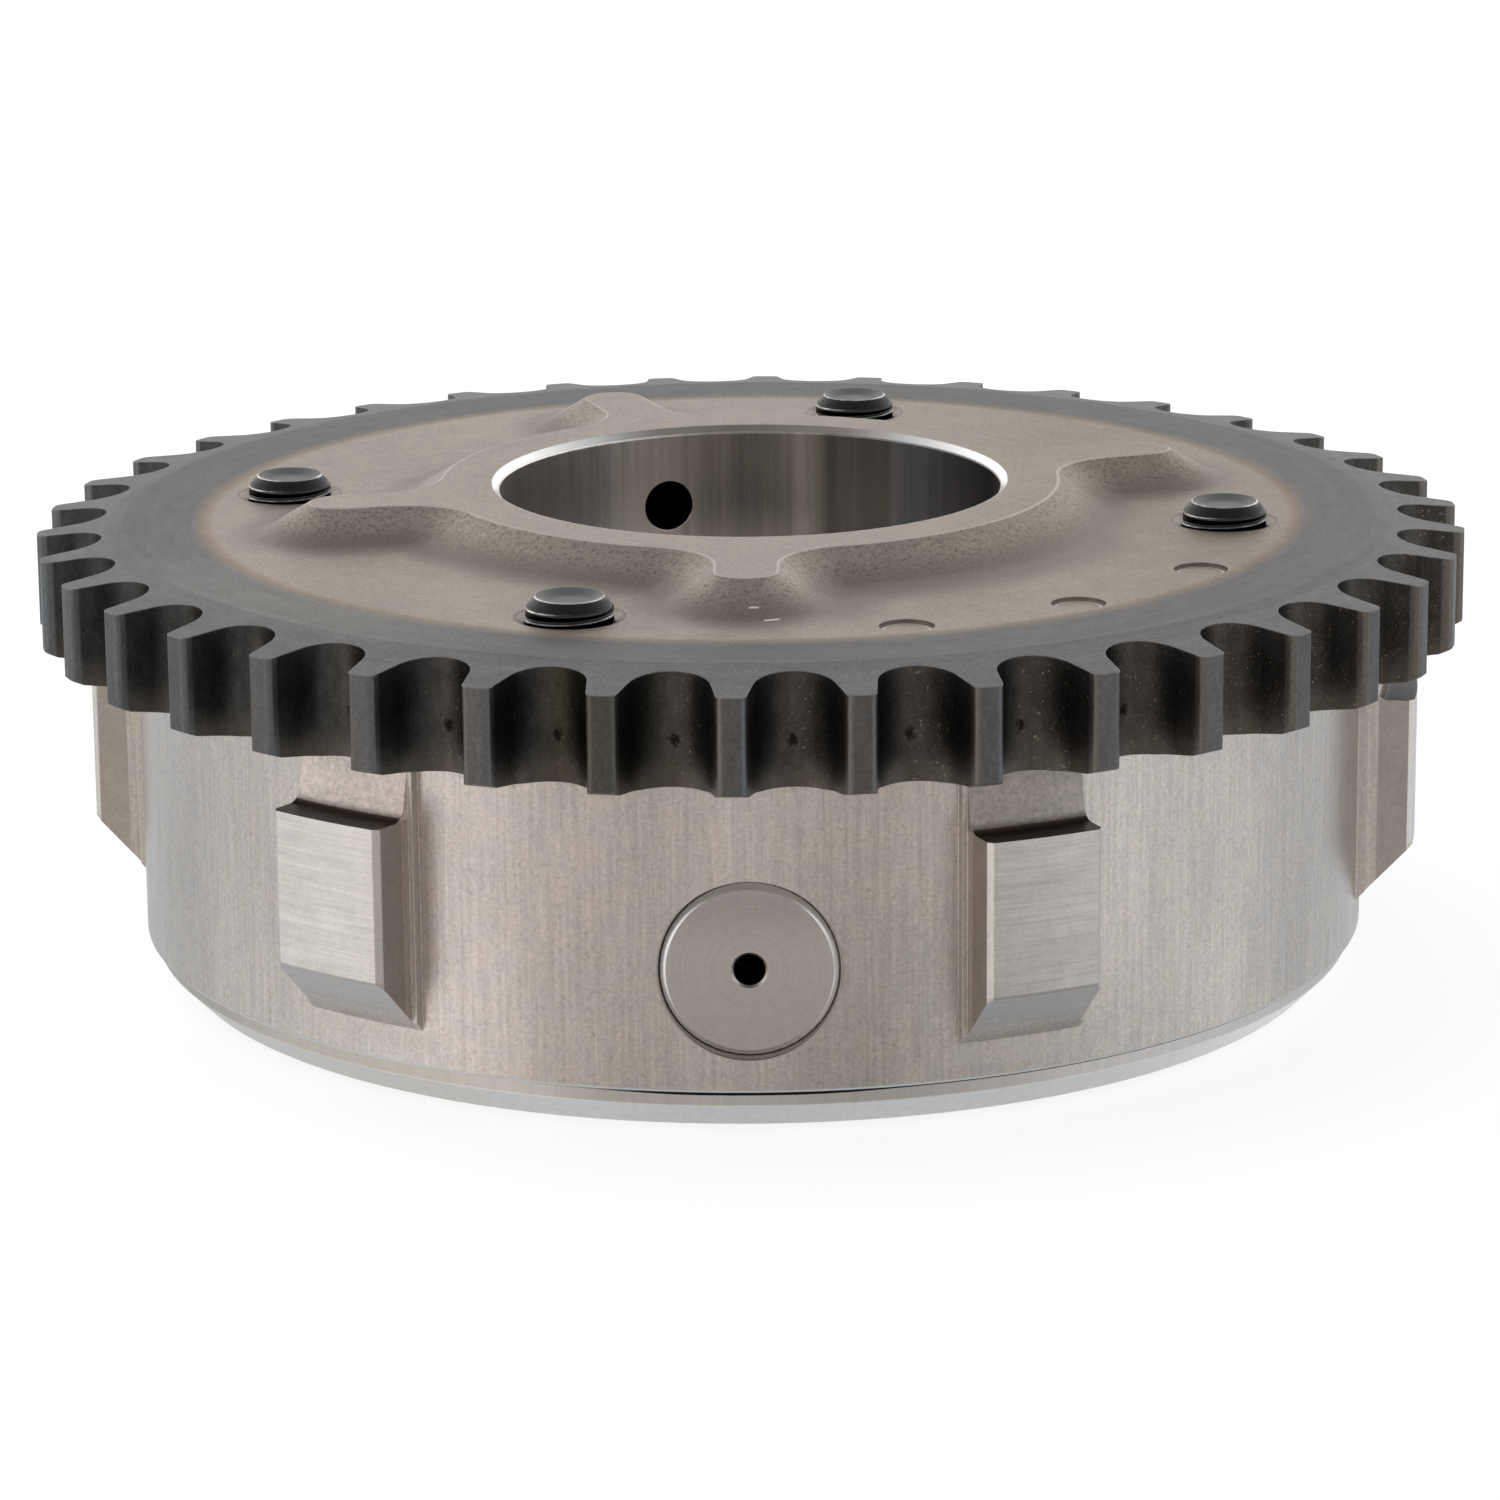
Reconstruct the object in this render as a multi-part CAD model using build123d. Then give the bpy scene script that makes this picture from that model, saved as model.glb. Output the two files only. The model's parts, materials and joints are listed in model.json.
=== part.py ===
"""Camshaft sprocket with a hydraulic vane mechanism that shifts the camshaft's timing.

The axis of rotation is Z and the origin lies on it, on the plane the unit stands on. The toothed
plate is on top, towards the engine, and the cover is underneath. Angles run counter-clockwise seen
from above, from +X. Lengths are in millimetres and angles in degrees.
"""

from build123d import *
from math import asin, cos, degrees, hypot, pi, radians, sin, tan
import os

os.makedirs("parts", exist_ok=True)

# Chain teeth
TEETH = 38
CHAIN_PITCH = 9.525
SEAT_RADIUS = 3.2
FLANK_ANGLE = 14.5
ADDENDUM = 2.23
FIRST_GAP_ANGLE = 273.23
RIM_BEVEL_WIDTH = 7.2
RIM_BEVEL_DROP = 0.9
UNDERSIDE_BEVEL_WIDTH = 4.4
UNDERSIDE_BEVEL_RISE = 0.45
TIP_BEVEL_WIDTH = 1.0
TIP_BEVEL_RISE = 0.4
TOOTH_CORNER_FILLET = 0.6

# Stack of plates, from the bottom up
LAND_DEPTH = 0.5
COVER_THICKNESS = 3.9
HOUSING_HEIGHT = 25.5
PLATE_THICKNESS = 9.3
HUB_HEIGHT = 2.6

# Sprocket hub with its raised arms over the oil drillings
JOURNAL_RADIUS = 21.1
JOURNAL_CHAMFER = 0.6
HUB_RADIUS = 26.0
HUB_SLOPE = 4.4
HUB_EDGE_FILLET = 0.5
HUB_FOOT_FILLET = 2.0
NECK_RADIUS = 6.5
ARM_HALF_WIDTH = 2.5
ARM_ANGLES = [17.8, 109.7, 192.5, 269.4]
ARM_TIP_RADII = [37.8, 38.4, 37.4, 35.9]

# Oil drillings in the sprocket: radial from the bore, then down to the mechanism
DRILLING_RADIUS = 2.2
DRILLING_DEPTH = 4.2
PORT_RADIUS = 2.5
PORT_CIRCLE_RADIUS = 33.4

# Round timing dots on the plate
DOT_ANGLES = [286.3, 306.8, 327.4]
DOT_CIRCLE_RADIUS = 43.1
DOT_RADIUS = 2.2
DOT_DEPTH = 0.3

# Housing
HOUSING_RADIUS = 51.75
HOUSING_EDGE_CHAMFER = 0.35
HOUSING_WALL = 8.25
CHAMBER_CORNER_FILLET = 1.2
SHOE_TIP_FILLET = 1.6
SHOE_HALF_ANGLE = 9.0

# Trigger lugs round the housing, with heights above the housing's underside
LUG_ANGLES = [53.5, 113.5, 173.5, 233.5, 293.7, 353.5]
LUG_HALF_WIDTHS = [5.1, 5.1, 5.1, 5.3, 4.9, 5.1]
LUG_STAND_OUT = 4.55
LUG_PAD_STAND_OUT = 1.4
LUG_PAD_SLOPE = 0.8
LUG_FOOT_STAND_OUT = 0.75
LUG_FOOT_MARGIN = 0.4
LUG_BOTTOM_HEIGHT = 3.2
LUG_BEVEL_HEIGHT = 4.8
LUG_TOP_HEIGHT = 20.55
LUG_EDGE_CHAMFER = 0.45
LUG_LEDGE_FILLET = 1.2

# Cover
COVER_INSET = 0.9
COVER_BEVEL = 2.2
COVER_EDGE_CHAMFER = 0.15
LAND_INSET = 4.25
COVER_BORE_RADIUS = 15.6
COVER_BORE_CHAMFER = 0.5

# Clamp bolts
BOLT_ANGLES = [249.2, 351.5, 76.2, 169.5]
BOLT_CIRCLE_RADIUS = 40.0
THREAD_RADIUS = 3.5
THREAD_CLEARANCE = 0.02
BOLT_HOLE_RADIUS = 3.8
BOLT_STAND_OUT = 1.7
BOLT_TIP_CHAMFER = 0.7
BOLT_DISH_RADIUS = 2.65
BOLT_DISH_DEPTH = 0.4
BOLT_HEAD_RADIUS = 6.0
BOLT_HEAD_INSET = 0.2
BOLT_DRIVE_RADIUS = 2.2
BOLT_DRIVE_LOBES = 6
BOLT_DRIVE_LOBE_RADIUS = 0.65
BOLT_DRIVE_DEPTH = 1.8
HEAD_CLEARANCE = 0.1
COUNTERSINK_RADIUS = 4.35
COUNTERSINK_DEPTH = 0.6

# Rotor
ROTOR_HUB_RADIUS = 27.5
ROTOR_FACE_CLEARANCE = 0.05
TIP_GAP = 0.3
VANE_SPANS = [(285.45, 312.15), (20.5, 36.5), (113.5, 129.5), (192.5, 208.5)]
VANE_ROOT_FILLET = 1.2
VANE_TIP_FILLET = 1.6
VANE_ROOT_DEPTH = 1.0
VANE_ROOT_MARGIN = 0.25
ROTOR_NOSE_CLEARANCE = 0.1
ROTOR_NOSE_INSET = 0.6
CAM_BOLT_RADIUS = 6.1
CAM_BOLT_SEAT_RADIUS = 12.5
CAM_BOLT_SEAT_DEPTH = 6.0
CAM_DOWEL_RADIUS = 2.5
CAM_DOWEL_DEPTH = 7.0
CAM_DOWEL_CIRCLE_RADIUS = 13.5
CAM_DOWEL_ANGLE = 72.0
CAM_SEAT_INSET = 0.7
SEAT_RELIEF_WIDTH = 1.0
SEAT_RELIEF_DEPTH = 0.5
FEED_RADIUS = 1.6
FEED_CIRCLE_RADIUS = 17.0
FEED_HEIGHT = 12.8
FEED_OFFSET_ANGLE = 7.0

# Seal bars and the leaf springs behind them
SEAL_WIDTH = 3.0
SEAL_SIDE_CLEARANCE = 0.03
SEAL_RUNNING_GAP = 0.04
SEAL_HEIGHT = 3.0
SEAL_END_CLEARANCE = 0.1
LEAF_SPACE = 1.0
LEAF_THICKNESS = 0.22
LEAF_WIDTH = 2.5
LEAF_LENGTH = 22.0
LEAF_CLEARANCE = 0.04

# Lock pin, its spring and its plug, along one radial bore above the housing's underside
PIN_ANGLE = 269.6
PIN_HEIGHT = 10.0
PIN_SHOE_ANGLE = 15.6
PIN_RADIUS = 5.0
PIN_NOSE_RADIUS = 4.2
PIN_CLEARANCE = 0.04
PIN_NOSE_LENGTH = 6.8
PIN_NOSE_CHAMFER = 0.7
PIN_TRAVEL = 3.2
PIN_REST_GAP = 0.1
PIN_OIL_RADIUS = 1.1
PIN_BORE_RADIUS = 3.2
PIN_BORE_DEPTH = 8.0
RECESS_CLEARANCE = 0.12
PLUG_RADIUS = 7.0
PLUG_SEAT_OFFSET = 0.275
PLUG_CHAMFER = 0.5
PLUG_INSET = 0.3
PLUG_MOUTH_CHAMFER = 0.2
PLUG_POCKET_DEPTH = 4.5
VENT_RADIUS = 1.25
VENT_CHAMFER = 0.2
SPRING_WIRE_RADIUS = 0.35
SPRING_WIRE_SIDES = 8
SPRING_TURNS = 6
SPRING_SIDE_CLEARANCE = 0.15

# Dowel between housing and sprocket
DOWEL_RADIUS = 2.0
DOWEL_LENGTH = 9.0
DOWEL_ANGLE = 258.5
DOWEL_CIRCLE_RADIUS = 34.0
DOWEL_CLEARANCE = 0.02
DOWEL_CHAMFER = 0.3

# Worked out from the values above
pitch_radius = CHAIN_PITCH / (2 * sin(pi / TEETH))
tip_radius = pitch_radius + ADDENDUM
cover_top = COVER_THICKNESS
housing_top = cover_top + HOUSING_HEIGHT
plate_top = housing_top + PLATE_THICKNESS
hub_top = plate_top + HUB_HEIGHT
drilling_height = plate_top - DRILLING_DEPTH
chamber_radius = HOUSING_RADIUS - HOUSING_WALL
cover_radius = HOUSING_RADIUS - COVER_INSET
land_radius = cover_radius - LAND_INSET
lug_radius = HOUSING_RADIUS + LUG_STAND_OUT
lug_pad_radius = HOUSING_RADIUS + LUG_PAD_STAND_OUT
lug_foot_radius = HOUSING_RADIUS + LUG_FOOT_STAND_OUT
lug_bottom = cover_top + LUG_BOTTOM_HEIGHT
lug_top = cover_top + LUG_TOP_HEIGHT
feed_height = cover_top + FEED_HEIGHT
pin_height = cover_top + PIN_HEIGHT
shoe_tip_radius = ROTOR_HUB_RADIUS + TIP_GAP
vane_tip_radius = chamber_radius - TIP_GAP
rotor_bottom = cover_top + ROTOR_FACE_CLEARANCE
rotor_top = housing_top - ROTOR_FACE_CLEARANCE
seal_slot_depth = SEAL_HEIGHT + LEAF_SPACE
shoe_spans = [(angle - SHOE_HALF_ANGLE, angle + SHOE_HALF_ANGLE) for angle in BOLT_ANGLES]
shoe_spans[0] = (shoe_spans[0][0], PIN_ANGLE + PIN_SHOE_ANGLE)
plug_face_radius = HOUSING_RADIUS - PLUG_INSET
cam_seat_radius = JOURNAL_RADIUS - CAM_SEAT_INSET
pin_nose = shoe_tip_radius
pin_shoulder = pin_nose + PIN_NOSE_LENGTH
plug_seat = (pin_shoulder + plug_face_radius) / 2 + PLUG_SEAT_OFFSET
pin_tail = plug_seat - PIN_REST_GAP
bore_shoulder = pin_shoulder - PIN_TRAVEL - PIN_CLEARANCE


def polar(radius, angle):
    """The point of the XY plane at this radius and angle."""
    return (radius * cos(radians(angle)), radius * sin(radians(angle)))


def radial(shape, angle, height):
    """Turns a shape made along +Z so that it points outwards at this angle and height."""
    return Pos(0, 0, height) * Rot(0, 0, angle) * Rot(0, 90, 0) * shape


def column(radius, bottom, top):
    """An upright cylinder on the axis between two heights."""
    return Pos(0, 0, bottom) * extrude(Circle(radius), top - bottom)


def upright(shape, radius, angle):
    """Moves an upright shape from the axis out to a point, without turning it."""
    x, y = polar(radius, angle)
    return Pos(x, y, 0) * shape


def turned(*points):
    """A solid of revolution about Z from its half section, given as radius and height."""
    return revolve(make_face(Plane.XZ * Polyline(*points, close=True)), Axis.Z)


def sector(inner, outer, start, end):
    """A flat piece of a ring between two radii and two angles."""
    middle = (start + end) / 2
    outline = [
        Line(polar(inner, start), polar(outer, start)),
        ThreePointArc(polar(outer, start), polar(outer, middle), polar(outer, end)),
        Line(polar(outer, end), polar(inner, end)),
        ThreePointArc(polar(inner, end), polar(inner, middle), polar(inner, start)),
    ]
    return make_face(Curve() + outline)


def bar(inner, outer, width, angle):
    """A flat radial strip of even width between two radii."""
    length = outer - inner
    return Rot(0, 0, angle) * Pos((inner + outer) / 2, 0) * Rectangle(length, width)


def around(sketch, count, first_angle):
    """Copies of a sketch that lies along +X, evenly spaced about the axis."""
    step = 360 / count
    return Sketch() + [Rot(0, 0, first_angle + step * number) * sketch for number in range(count)]


def corners(sketch, radius, angles):
    """The corners of a sketch that lie at this radius and at one of these angles."""
    wanted = [polar(radius, angle) for angle in angles]
    found = []
    for vertex in sketch.vertices():
        if any(hypot(vertex.X - x, vertex.Y - y) < 0.02 for x, y in wanted):
            found.append(vertex)
    return found


def tooth_gap():
    """One gap between teeth: a round seat for the chain's roller that opens along two flanks."""
    seat_half_angle = radians(90 - FLANK_ANGLE)
    flank_x = pitch_radius - SEAT_RADIUS * cos(seat_half_angle)
    flank_y = SEAT_RADIUS * sin(seat_half_angle)
    mouth_x = tip_radius + 1
    mouth_y = flank_y + (mouth_x - flank_x) * tan(radians(FLANK_ANGLE))
    seat = (pitch_radius - SEAT_RADIUS, 0)
    outline = [
        ThreePointArc((flank_x, flank_y), seat, (flank_x, -flank_y)),
        Line((flank_x, -flank_y), (mouth_x, -mouth_y)),
        Line((mouth_x, -mouth_y), (mouth_x, mouth_y)),
        Line((mouth_x, mouth_y), (flank_x, flank_y)),
    ]
    return make_face(Curve() + outline)


def tooth_outline():
    """The toothed plate in plan, with the corners of its teeth rounded."""
    outline = Circle(tip_radius) - around(tooth_gap(), TEETH, FIRST_GAP_ANGLE)
    tips = []
    for vertex in outline.vertices():
        if hypot(vertex.X, vertex.Y) > tip_radius - 0.01:
            tips.append(vertex)
    return fillet(tips, TOOTH_CORNER_FILLET)


def hub_outline(spread):
    """The hub and its four arms in plan, grown outwards by a spread."""
    radius = HUB_RADIUS + spread
    half_width = ARM_HALF_WIDTH + spread
    outline = Circle(radius)
    necks = []
    half_angle = degrees(asin(half_width / radius))
    for angle, tip in zip(ARM_ANGLES, ARM_TIP_RADII):
        centre = tip - ARM_HALF_WIDTH
        outline += bar(0, centre, 2 * half_width, angle)
        outline += Rot(0, 0, angle) * Pos(centre, 0) * Circle(half_width)
        necks += [angle - half_angle, angle + half_angle]
    return fillet(corners(outline, radius, necks), NECK_RADIUS - spread)


def make_hub():
    """The raised hub: its flat top slopes down all round, also along the arms."""
    top = Pos(0, 0, hub_top) * hub_outline(0)
    foot = Pos(0, 0, plate_top) * hub_outline(HUB_SLOPE)
    return loft([foot, top], ruled=True)


def tapped_hole(angle):
    """A threaded hole through the plate, with its wide countersink at the top."""
    hole = column(THREAD_RADIUS, housing_top - 1, plate_top + 1)
    sink_bottom = plate_top - COUNTERSINK_DEPTH
    sink = turned(
        (0, sink_bottom),
        (THREAD_RADIUS, sink_bottom),
        (COUNTERSINK_RADIUS, plate_top),
        (COUNTERSINK_RADIUS, plate_top + 1),
        (0, plate_top + 1),
    )
    return upright(hole + sink, BOLT_CIRCLE_RADIUS, angle)


def oil_passage(angle):
    """A radial drilling from the journal bore that meets a port in the plate's underside."""
    start = JOURNAL_RADIUS - DRILLING_RADIUS
    drilling = Pos(0, 0, start) * extrude(Circle(DRILLING_RADIUS), PORT_CIRCLE_RADIUS - start)
    port = column(PORT_RADIUS, housing_top - 1, drilling_height)
    return radial(drilling, angle, drilling_height) + upright(port, PORT_CIRCLE_RADIUS, angle)


def make_sprocket():
    """The toothed plate with its hub, cut from one blank."""
    bevel_start = tip_radius - RIM_BEVEL_WIDTH
    body = turned(
        (0, housing_top),
        (tip_radius - UNDERSIDE_BEVEL_WIDTH, housing_top),
        (tip_radius - TIP_BEVEL_WIDTH, housing_top + UNDERSIDE_BEVEL_RISE),
        (tip_radius, housing_top + UNDERSIDE_BEVEL_RISE + TIP_BEVEL_RISE),
        (tip_radius, plate_top - RIM_BEVEL_DROP),
        (bevel_start, plate_top),
        (0, plate_top),
    )
    body += make_hub()
    hub_edges = body.edges().filter_by_position(Axis.Z, hub_top, hub_top)
    body = fillet(hub_edges, HUB_EDGE_FILLET)
    foot_edges = []
    for edge in body.edges().filter_by_position(Axis.Z, plate_top, plate_top):
        middle = edge.position_at(0.5)
        if hypot(middle.X, middle.Y) < bevel_start - 1:
            foot_edges.append(edge)
    body = fillet(foot_edges, HUB_FOOT_FILLET)

    body &= Pos(0, 0, housing_top - 1) * extrude(tooth_outline(), PLATE_THICKNESS + HUB_HEIGHT + 2)
    body -= turned(
        (0, housing_top - 1),
        (JOURNAL_RADIUS, housing_top - 1),
        (JOURNAL_RADIUS, hub_top - JOURNAL_CHAMFER),
        (JOURNAL_RADIUS + JOURNAL_CHAMFER, hub_top),
        (JOURNAL_RADIUS + JOURNAL_CHAMFER, hub_top + 1),
        (0, hub_top + 1),
    )
    for angle in ARM_ANGLES:
        body -= oil_passage(angle)
    for angle in BOLT_ANGLES:
        body -= tapped_hole(angle)
    for angle in DOT_ANGLES:
        dot = column(DOT_RADIUS, plate_top - DOT_DEPTH, plate_top + 1)
        body -= upright(dot, DOT_CIRCLE_RADIUS, angle)
    return body - dowel_space(DOWEL_CLEARANCE)


def dowel_space(clearance):
    """The dowel's place, half in the housing and half in the sprocket."""
    half = DOWEL_LENGTH / 2 + clearance
    shape = column(DOWEL_RADIUS + clearance, housing_top - half, housing_top + half)
    return upright(shape, DOWEL_CIRCLE_RADIUS, DOWEL_ANGLE)


def make_dowel():
    """The locating dowel, with both ends chamfered."""
    dowel = column(DOWEL_RADIUS, housing_top - DOWEL_LENGTH / 2, housing_top + DOWEL_LENGTH / 2)
    dowel = chamfer(dowel.edges().filter_by(GeomType.CIRCLE), DOWEL_CHAMFER)
    return upright(dowel, DOWEL_CIRCLE_RADIUS, DOWEL_ANGLE)


def shoe_flanks():
    """The angles of all the shoes' flanks."""
    return [angle for span in shoe_spans for angle in span]


def housing_section():
    """The housing in plan: an outer wall with shoes that reach in to the rotor's hub."""
    section = Circle(HOUSING_RADIUS) - Circle(chamber_radius)
    for start, end in shoe_spans:
        section += sector(shoe_tip_radius, chamber_radius + 1, start, end)
    section = fillet(corners(section, chamber_radius, shoe_flanks()), CHAMBER_CORNER_FILLET)
    section = fillet(corners(section, shoe_tip_radius, shoe_flanks()), SHOE_TIP_FILLET)
    for angle in BOLT_ANGLES:
        section -= bar(shoe_tip_radius - 1, shoe_tip_radius + seal_slot_depth, SEAL_WIDTH, angle)
    return section


def lug_strip(angle, half_width):
    """The upright slab of space that a lug of this half width takes up."""
    strip = bar(HOUSING_RADIUS - 2, lug_radius + 1, 2 * half_width, angle)
    return extrude(strip, housing_top)


def trigger_lug(angle, half_width):
    """A lug with a bevel below it and a sloped pad above it, on a foot that is a little wider."""
    root = HOUSING_RADIUS - 1
    ring = turned(
        (root, lug_bottom),
        (HOUSING_RADIUS, lug_bottom),
        (lug_radius, lug_bottom + LUG_BEVEL_HEIGHT),
        (lug_radius, lug_top),
        (lug_pad_radius, lug_top),
        (lug_pad_radius - LUG_PAD_SLOPE, housing_top),
        (root, housing_top),
    )
    ledges = ring.edges().filter_by(GeomType.CIRCLE).filter_by_position(Axis.Z, lug_top, lug_top)
    ring = fillet(ledges.group_by(SortBy.RADIUS)[0], LUG_LEDGE_FILLET)
    lug = ring & lug_strip(angle, half_width)
    edges = []
    for edge in lug.edges().filter_by(Axis.Z):
        middle = edge.position_at(0.5)
        if hypot(middle.X, middle.Y) > lug_radius - 0.01:
            edges.append(edge)
    lug = chamfer(edges, LUG_EDGE_CHAMFER)
    foot = turned(
        (root, lug_bottom),
        (HOUSING_RADIUS, lug_bottom),
        (lug_foot_radius, lug_bottom + LUG_BEVEL_HEIGHT * LUG_FOOT_STAND_OUT / LUG_STAND_OUT),
        (lug_foot_radius, housing_top),
        (root, housing_top),
    )
    return lug + (foot & lug_strip(angle, half_width + LUG_FOOT_MARGIN))


def pin_bore():
    """The stepped radial bore for the lock pin and its plug, and the oil hole down to it."""
    bore = turned(
        (0, shoe_tip_radius - 1),
        (PIN_NOSE_RADIUS, shoe_tip_radius - 1),
        (PIN_NOSE_RADIUS, bore_shoulder),
        (PIN_RADIUS, bore_shoulder),
        (PIN_RADIUS, plug_seat),
        (PLUG_RADIUS, plug_seat),
        (PLUG_RADIUS, plug_face_radius - PLUG_CHAMFER),
        (PLUG_RADIUS + PLUG_MOUTH_CHAMFER, plug_face_radius),
        (PLUG_RADIUS + PLUG_MOUTH_CHAMFER, HOUSING_RADIUS + 1),
        (0, HOUSING_RADIUS + 1),
    )
    oil_hole = column(PIN_OIL_RADIUS, pin_height, housing_top + 1)
    return radial(bore, PIN_ANGLE, pin_height) + upright(oil_hole, PORT_CIRCLE_RADIUS, PIN_ANGLE)


def make_housing():
    """The vane housing, one piece with its shoes and lugs."""
    body = Pos(0, 0, cover_top) * extrude(housing_section(), HOUSING_HEIGHT)
    outer_edges = []
    for edge in body.edges().filter_by(GeomType.CIRCLE):
        if edge.radius > HOUSING_RADIUS - 0.01 and edge.center().Z < cover_top + 1:
            outer_edges.append(edge)
    body = chamfer(outer_edges, HOUSING_EDGE_CHAMFER)
    for angle, half_width in zip(LUG_ANGLES, LUG_HALF_WIDTHS):
        body += trigger_lug(angle, half_width)
    for angle in BOLT_ANGLES:
        hole = column(BOLT_HOLE_RADIUS, cover_top - 1, housing_top + 1)
        body -= upright(hole, BOLT_CIRCLE_RADIUS, angle)
    body -= pin_bore()
    return body - dowel_space(DOWEL_CLEARANCE)


def head_cone(clearance):
    """A countersunk head's cone at 90 degrees, grown by a clearance, with room below it."""
    wide = BOLT_HEAD_RADIUS + clearance
    top = BOLT_HEAD_INSET + wide
    return turned((0, BOLT_HEAD_INSET), (wide, BOLT_HEAD_INSET), (0, top))


def make_cover():
    """The cover plate, turned with a bevelled rim and a flat land, and countersunk."""
    body = turned(
        (COVER_BORE_RADIUS, 0),
        (land_radius, 0),
        (land_radius + LAND_DEPTH, LAND_DEPTH),
        (cover_radius - COVER_BEVEL, LAND_DEPTH),
        (cover_radius, LAND_DEPTH + COVER_BEVEL),
        (cover_radius, cover_top - COVER_EDGE_CHAMFER),
        (cover_radius - COVER_EDGE_CHAMFER, cover_top),
        (COVER_BORE_RADIUS, cover_top),
    )
    mouth = body.edges().filter_by(GeomType.CIRCLE).group_by(SortBy.RADIUS)[0]
    body = chamfer(mouth, COVER_BORE_CHAMFER)
    sink = head_cone(HEAD_CLEARANCE) + column(BOLT_HOLE_RADIUS, -1, cover_top + 1)
    sink += column(BOLT_HEAD_RADIUS + HEAD_CLEARANCE, -1, BOLT_HEAD_INSET)
    for angle in BOLT_ANGLES:
        body -= upright(sink, BOLT_CIRCLE_RADIUS, angle)
    return body


def drive_socket():
    """The six-lobed socket in a bolt's head."""
    star = Circle(BOLT_DRIVE_RADIUS)
    lobe = Pos(BOLT_DRIVE_RADIUS, 0) * Circle(BOLT_DRIVE_LOBE_RADIUS)
    star += around(lobe, BOLT_DRIVE_LOBES, 0)
    return Pos(0, 0, BOLT_HEAD_INSET) * extrude(star, BOLT_DRIVE_DEPTH)


def make_clamp_bolt(angle):
    """A countersunk bolt from the cover up through the plate, its end standing out."""
    radius = THREAD_RADIUS - THREAD_CLEARANCE
    top = plate_top + BOLT_STAND_OUT
    body = column(radius, BOLT_HEAD_INSET, top)
    body = chamfer(body.edges().sort_by(Axis.Z)[-1], BOLT_TIP_CHAMFER)
    body += head_cone(0)
    body -= turned(
        (0, top - BOLT_DISH_DEPTH),
        (BOLT_DISH_RADIUS - BOLT_DISH_DEPTH, top - BOLT_DISH_DEPTH),
        (BOLT_DISH_RADIUS, top),
        (0, top),
    )
    body -= drive_socket()
    return upright(Rot(0, 0, angle) * body, BOLT_CIRCLE_RADIUS, angle)


def vane_flanks():
    """The angles of all the vanes' flanks."""
    return [angle for span in VANE_SPANS for angle in span]


def rotor_section():
    """The rotor in plan: its hub and vanes, each vane slotted for its seal."""
    section = Circle(ROTOR_HUB_RADIUS)
    for start, end in VANE_SPANS:
        section += sector(ROTOR_HUB_RADIUS - 1, vane_tip_radius, start, end)
    section = fillet(corners(section, ROTOR_HUB_RADIUS, vane_flanks()), VANE_ROOT_FILLET)
    section = fillet(corners(section, vane_tip_radius, vane_flanks()), VANE_TIP_FILLET)
    for start, end in VANE_SPANS:
        floor = vane_tip_radius - seal_slot_depth
        section -= bar(floor, vane_tip_radius + 1, SEAL_WIDTH, (start + end) / 2)
    return section


def lock_recess():
    """The recess in the rotor's hub that the lock pin's nose enters."""
    radius = PIN_NOSE_RADIUS + RECESS_CLEARANCE
    floor = pin_nose - PIN_TRAVEL - 2 * RECESS_CLEARANCE
    recess = Pos(0, 0, floor) * extrude(Circle(radius), ROTOR_HUB_RADIUS + 1 - floor)
    return radial(recess, PIN_ANGLE, pin_height)


def vane_space(span):
    """The space of one vane: it reaches a little into the hub and past the vane's root fillets."""
    start, end = span
    margin = degrees(asin((VANE_ROOT_FILLET + VANE_ROOT_MARGIN) / ROTOR_HUB_RADIUS))
    root = ROTOR_HUB_RADIUS - VANE_ROOT_DEPTH
    plan = sector(root, chamber_radius, start - margin, end + margin)
    return Pos(0, 0, cover_top) * extrude(plan, HOUSING_HEIGHT)


def make_rotor():
    """The vaned rotor, bored and counterbored for the camshaft's bolt."""
    body = Pos(0, 0, rotor_bottom) * extrude(rotor_section(), rotor_top - rotor_bottom)
    nose_radius = COVER_BORE_RADIUS - ROTOR_NOSE_CLEARANCE
    nose = column(nose_radius, ROTOR_NOSE_INSET, rotor_bottom)
    nose = chamfer(nose.edges().sort_by(Axis.Z)[0], ROTOR_NOSE_INSET / 2)
    body += nose
    body -= column(CAM_BOLT_RADIUS, 0, housing_top)
    body -= column(CAM_BOLT_SEAT_RADIUS, 0, ROTOR_NOSE_INSET + CAM_BOLT_SEAT_DEPTH)
    relief = Circle(cam_seat_radius + SEAT_RELIEF_WIDTH) - Circle(cam_seat_radius)
    body -= Pos(0, 0, rotor_top - SEAT_RELIEF_DEPTH) * extrude(relief, 1)
    dowel_hole = column(CAM_DOWEL_RADIUS, rotor_top - CAM_DOWEL_DEPTH, housing_top)
    body -= upright(dowel_hole, CAM_DOWEL_CIRCLE_RADIUS, CAM_DOWEL_ANGLE)
    feed = column(FEED_RADIUS, feed_height, housing_top)
    branch_length = ROTOR_HUB_RADIUS + 1 - FEED_CIRCLE_RADIUS
    branch = Pos(0, 0, FEED_CIRCLE_RADIUS) * extrude(Circle(FEED_RADIUS), branch_length)
    for start, end in VANE_SPANS:
        angle = end + FEED_OFFSET_ANGLE
        body -= upright(feed, FEED_CIRCLE_RADIUS, angle)
        body -= radial(branch, angle, feed_height)
    return body - lock_recess()


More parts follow.
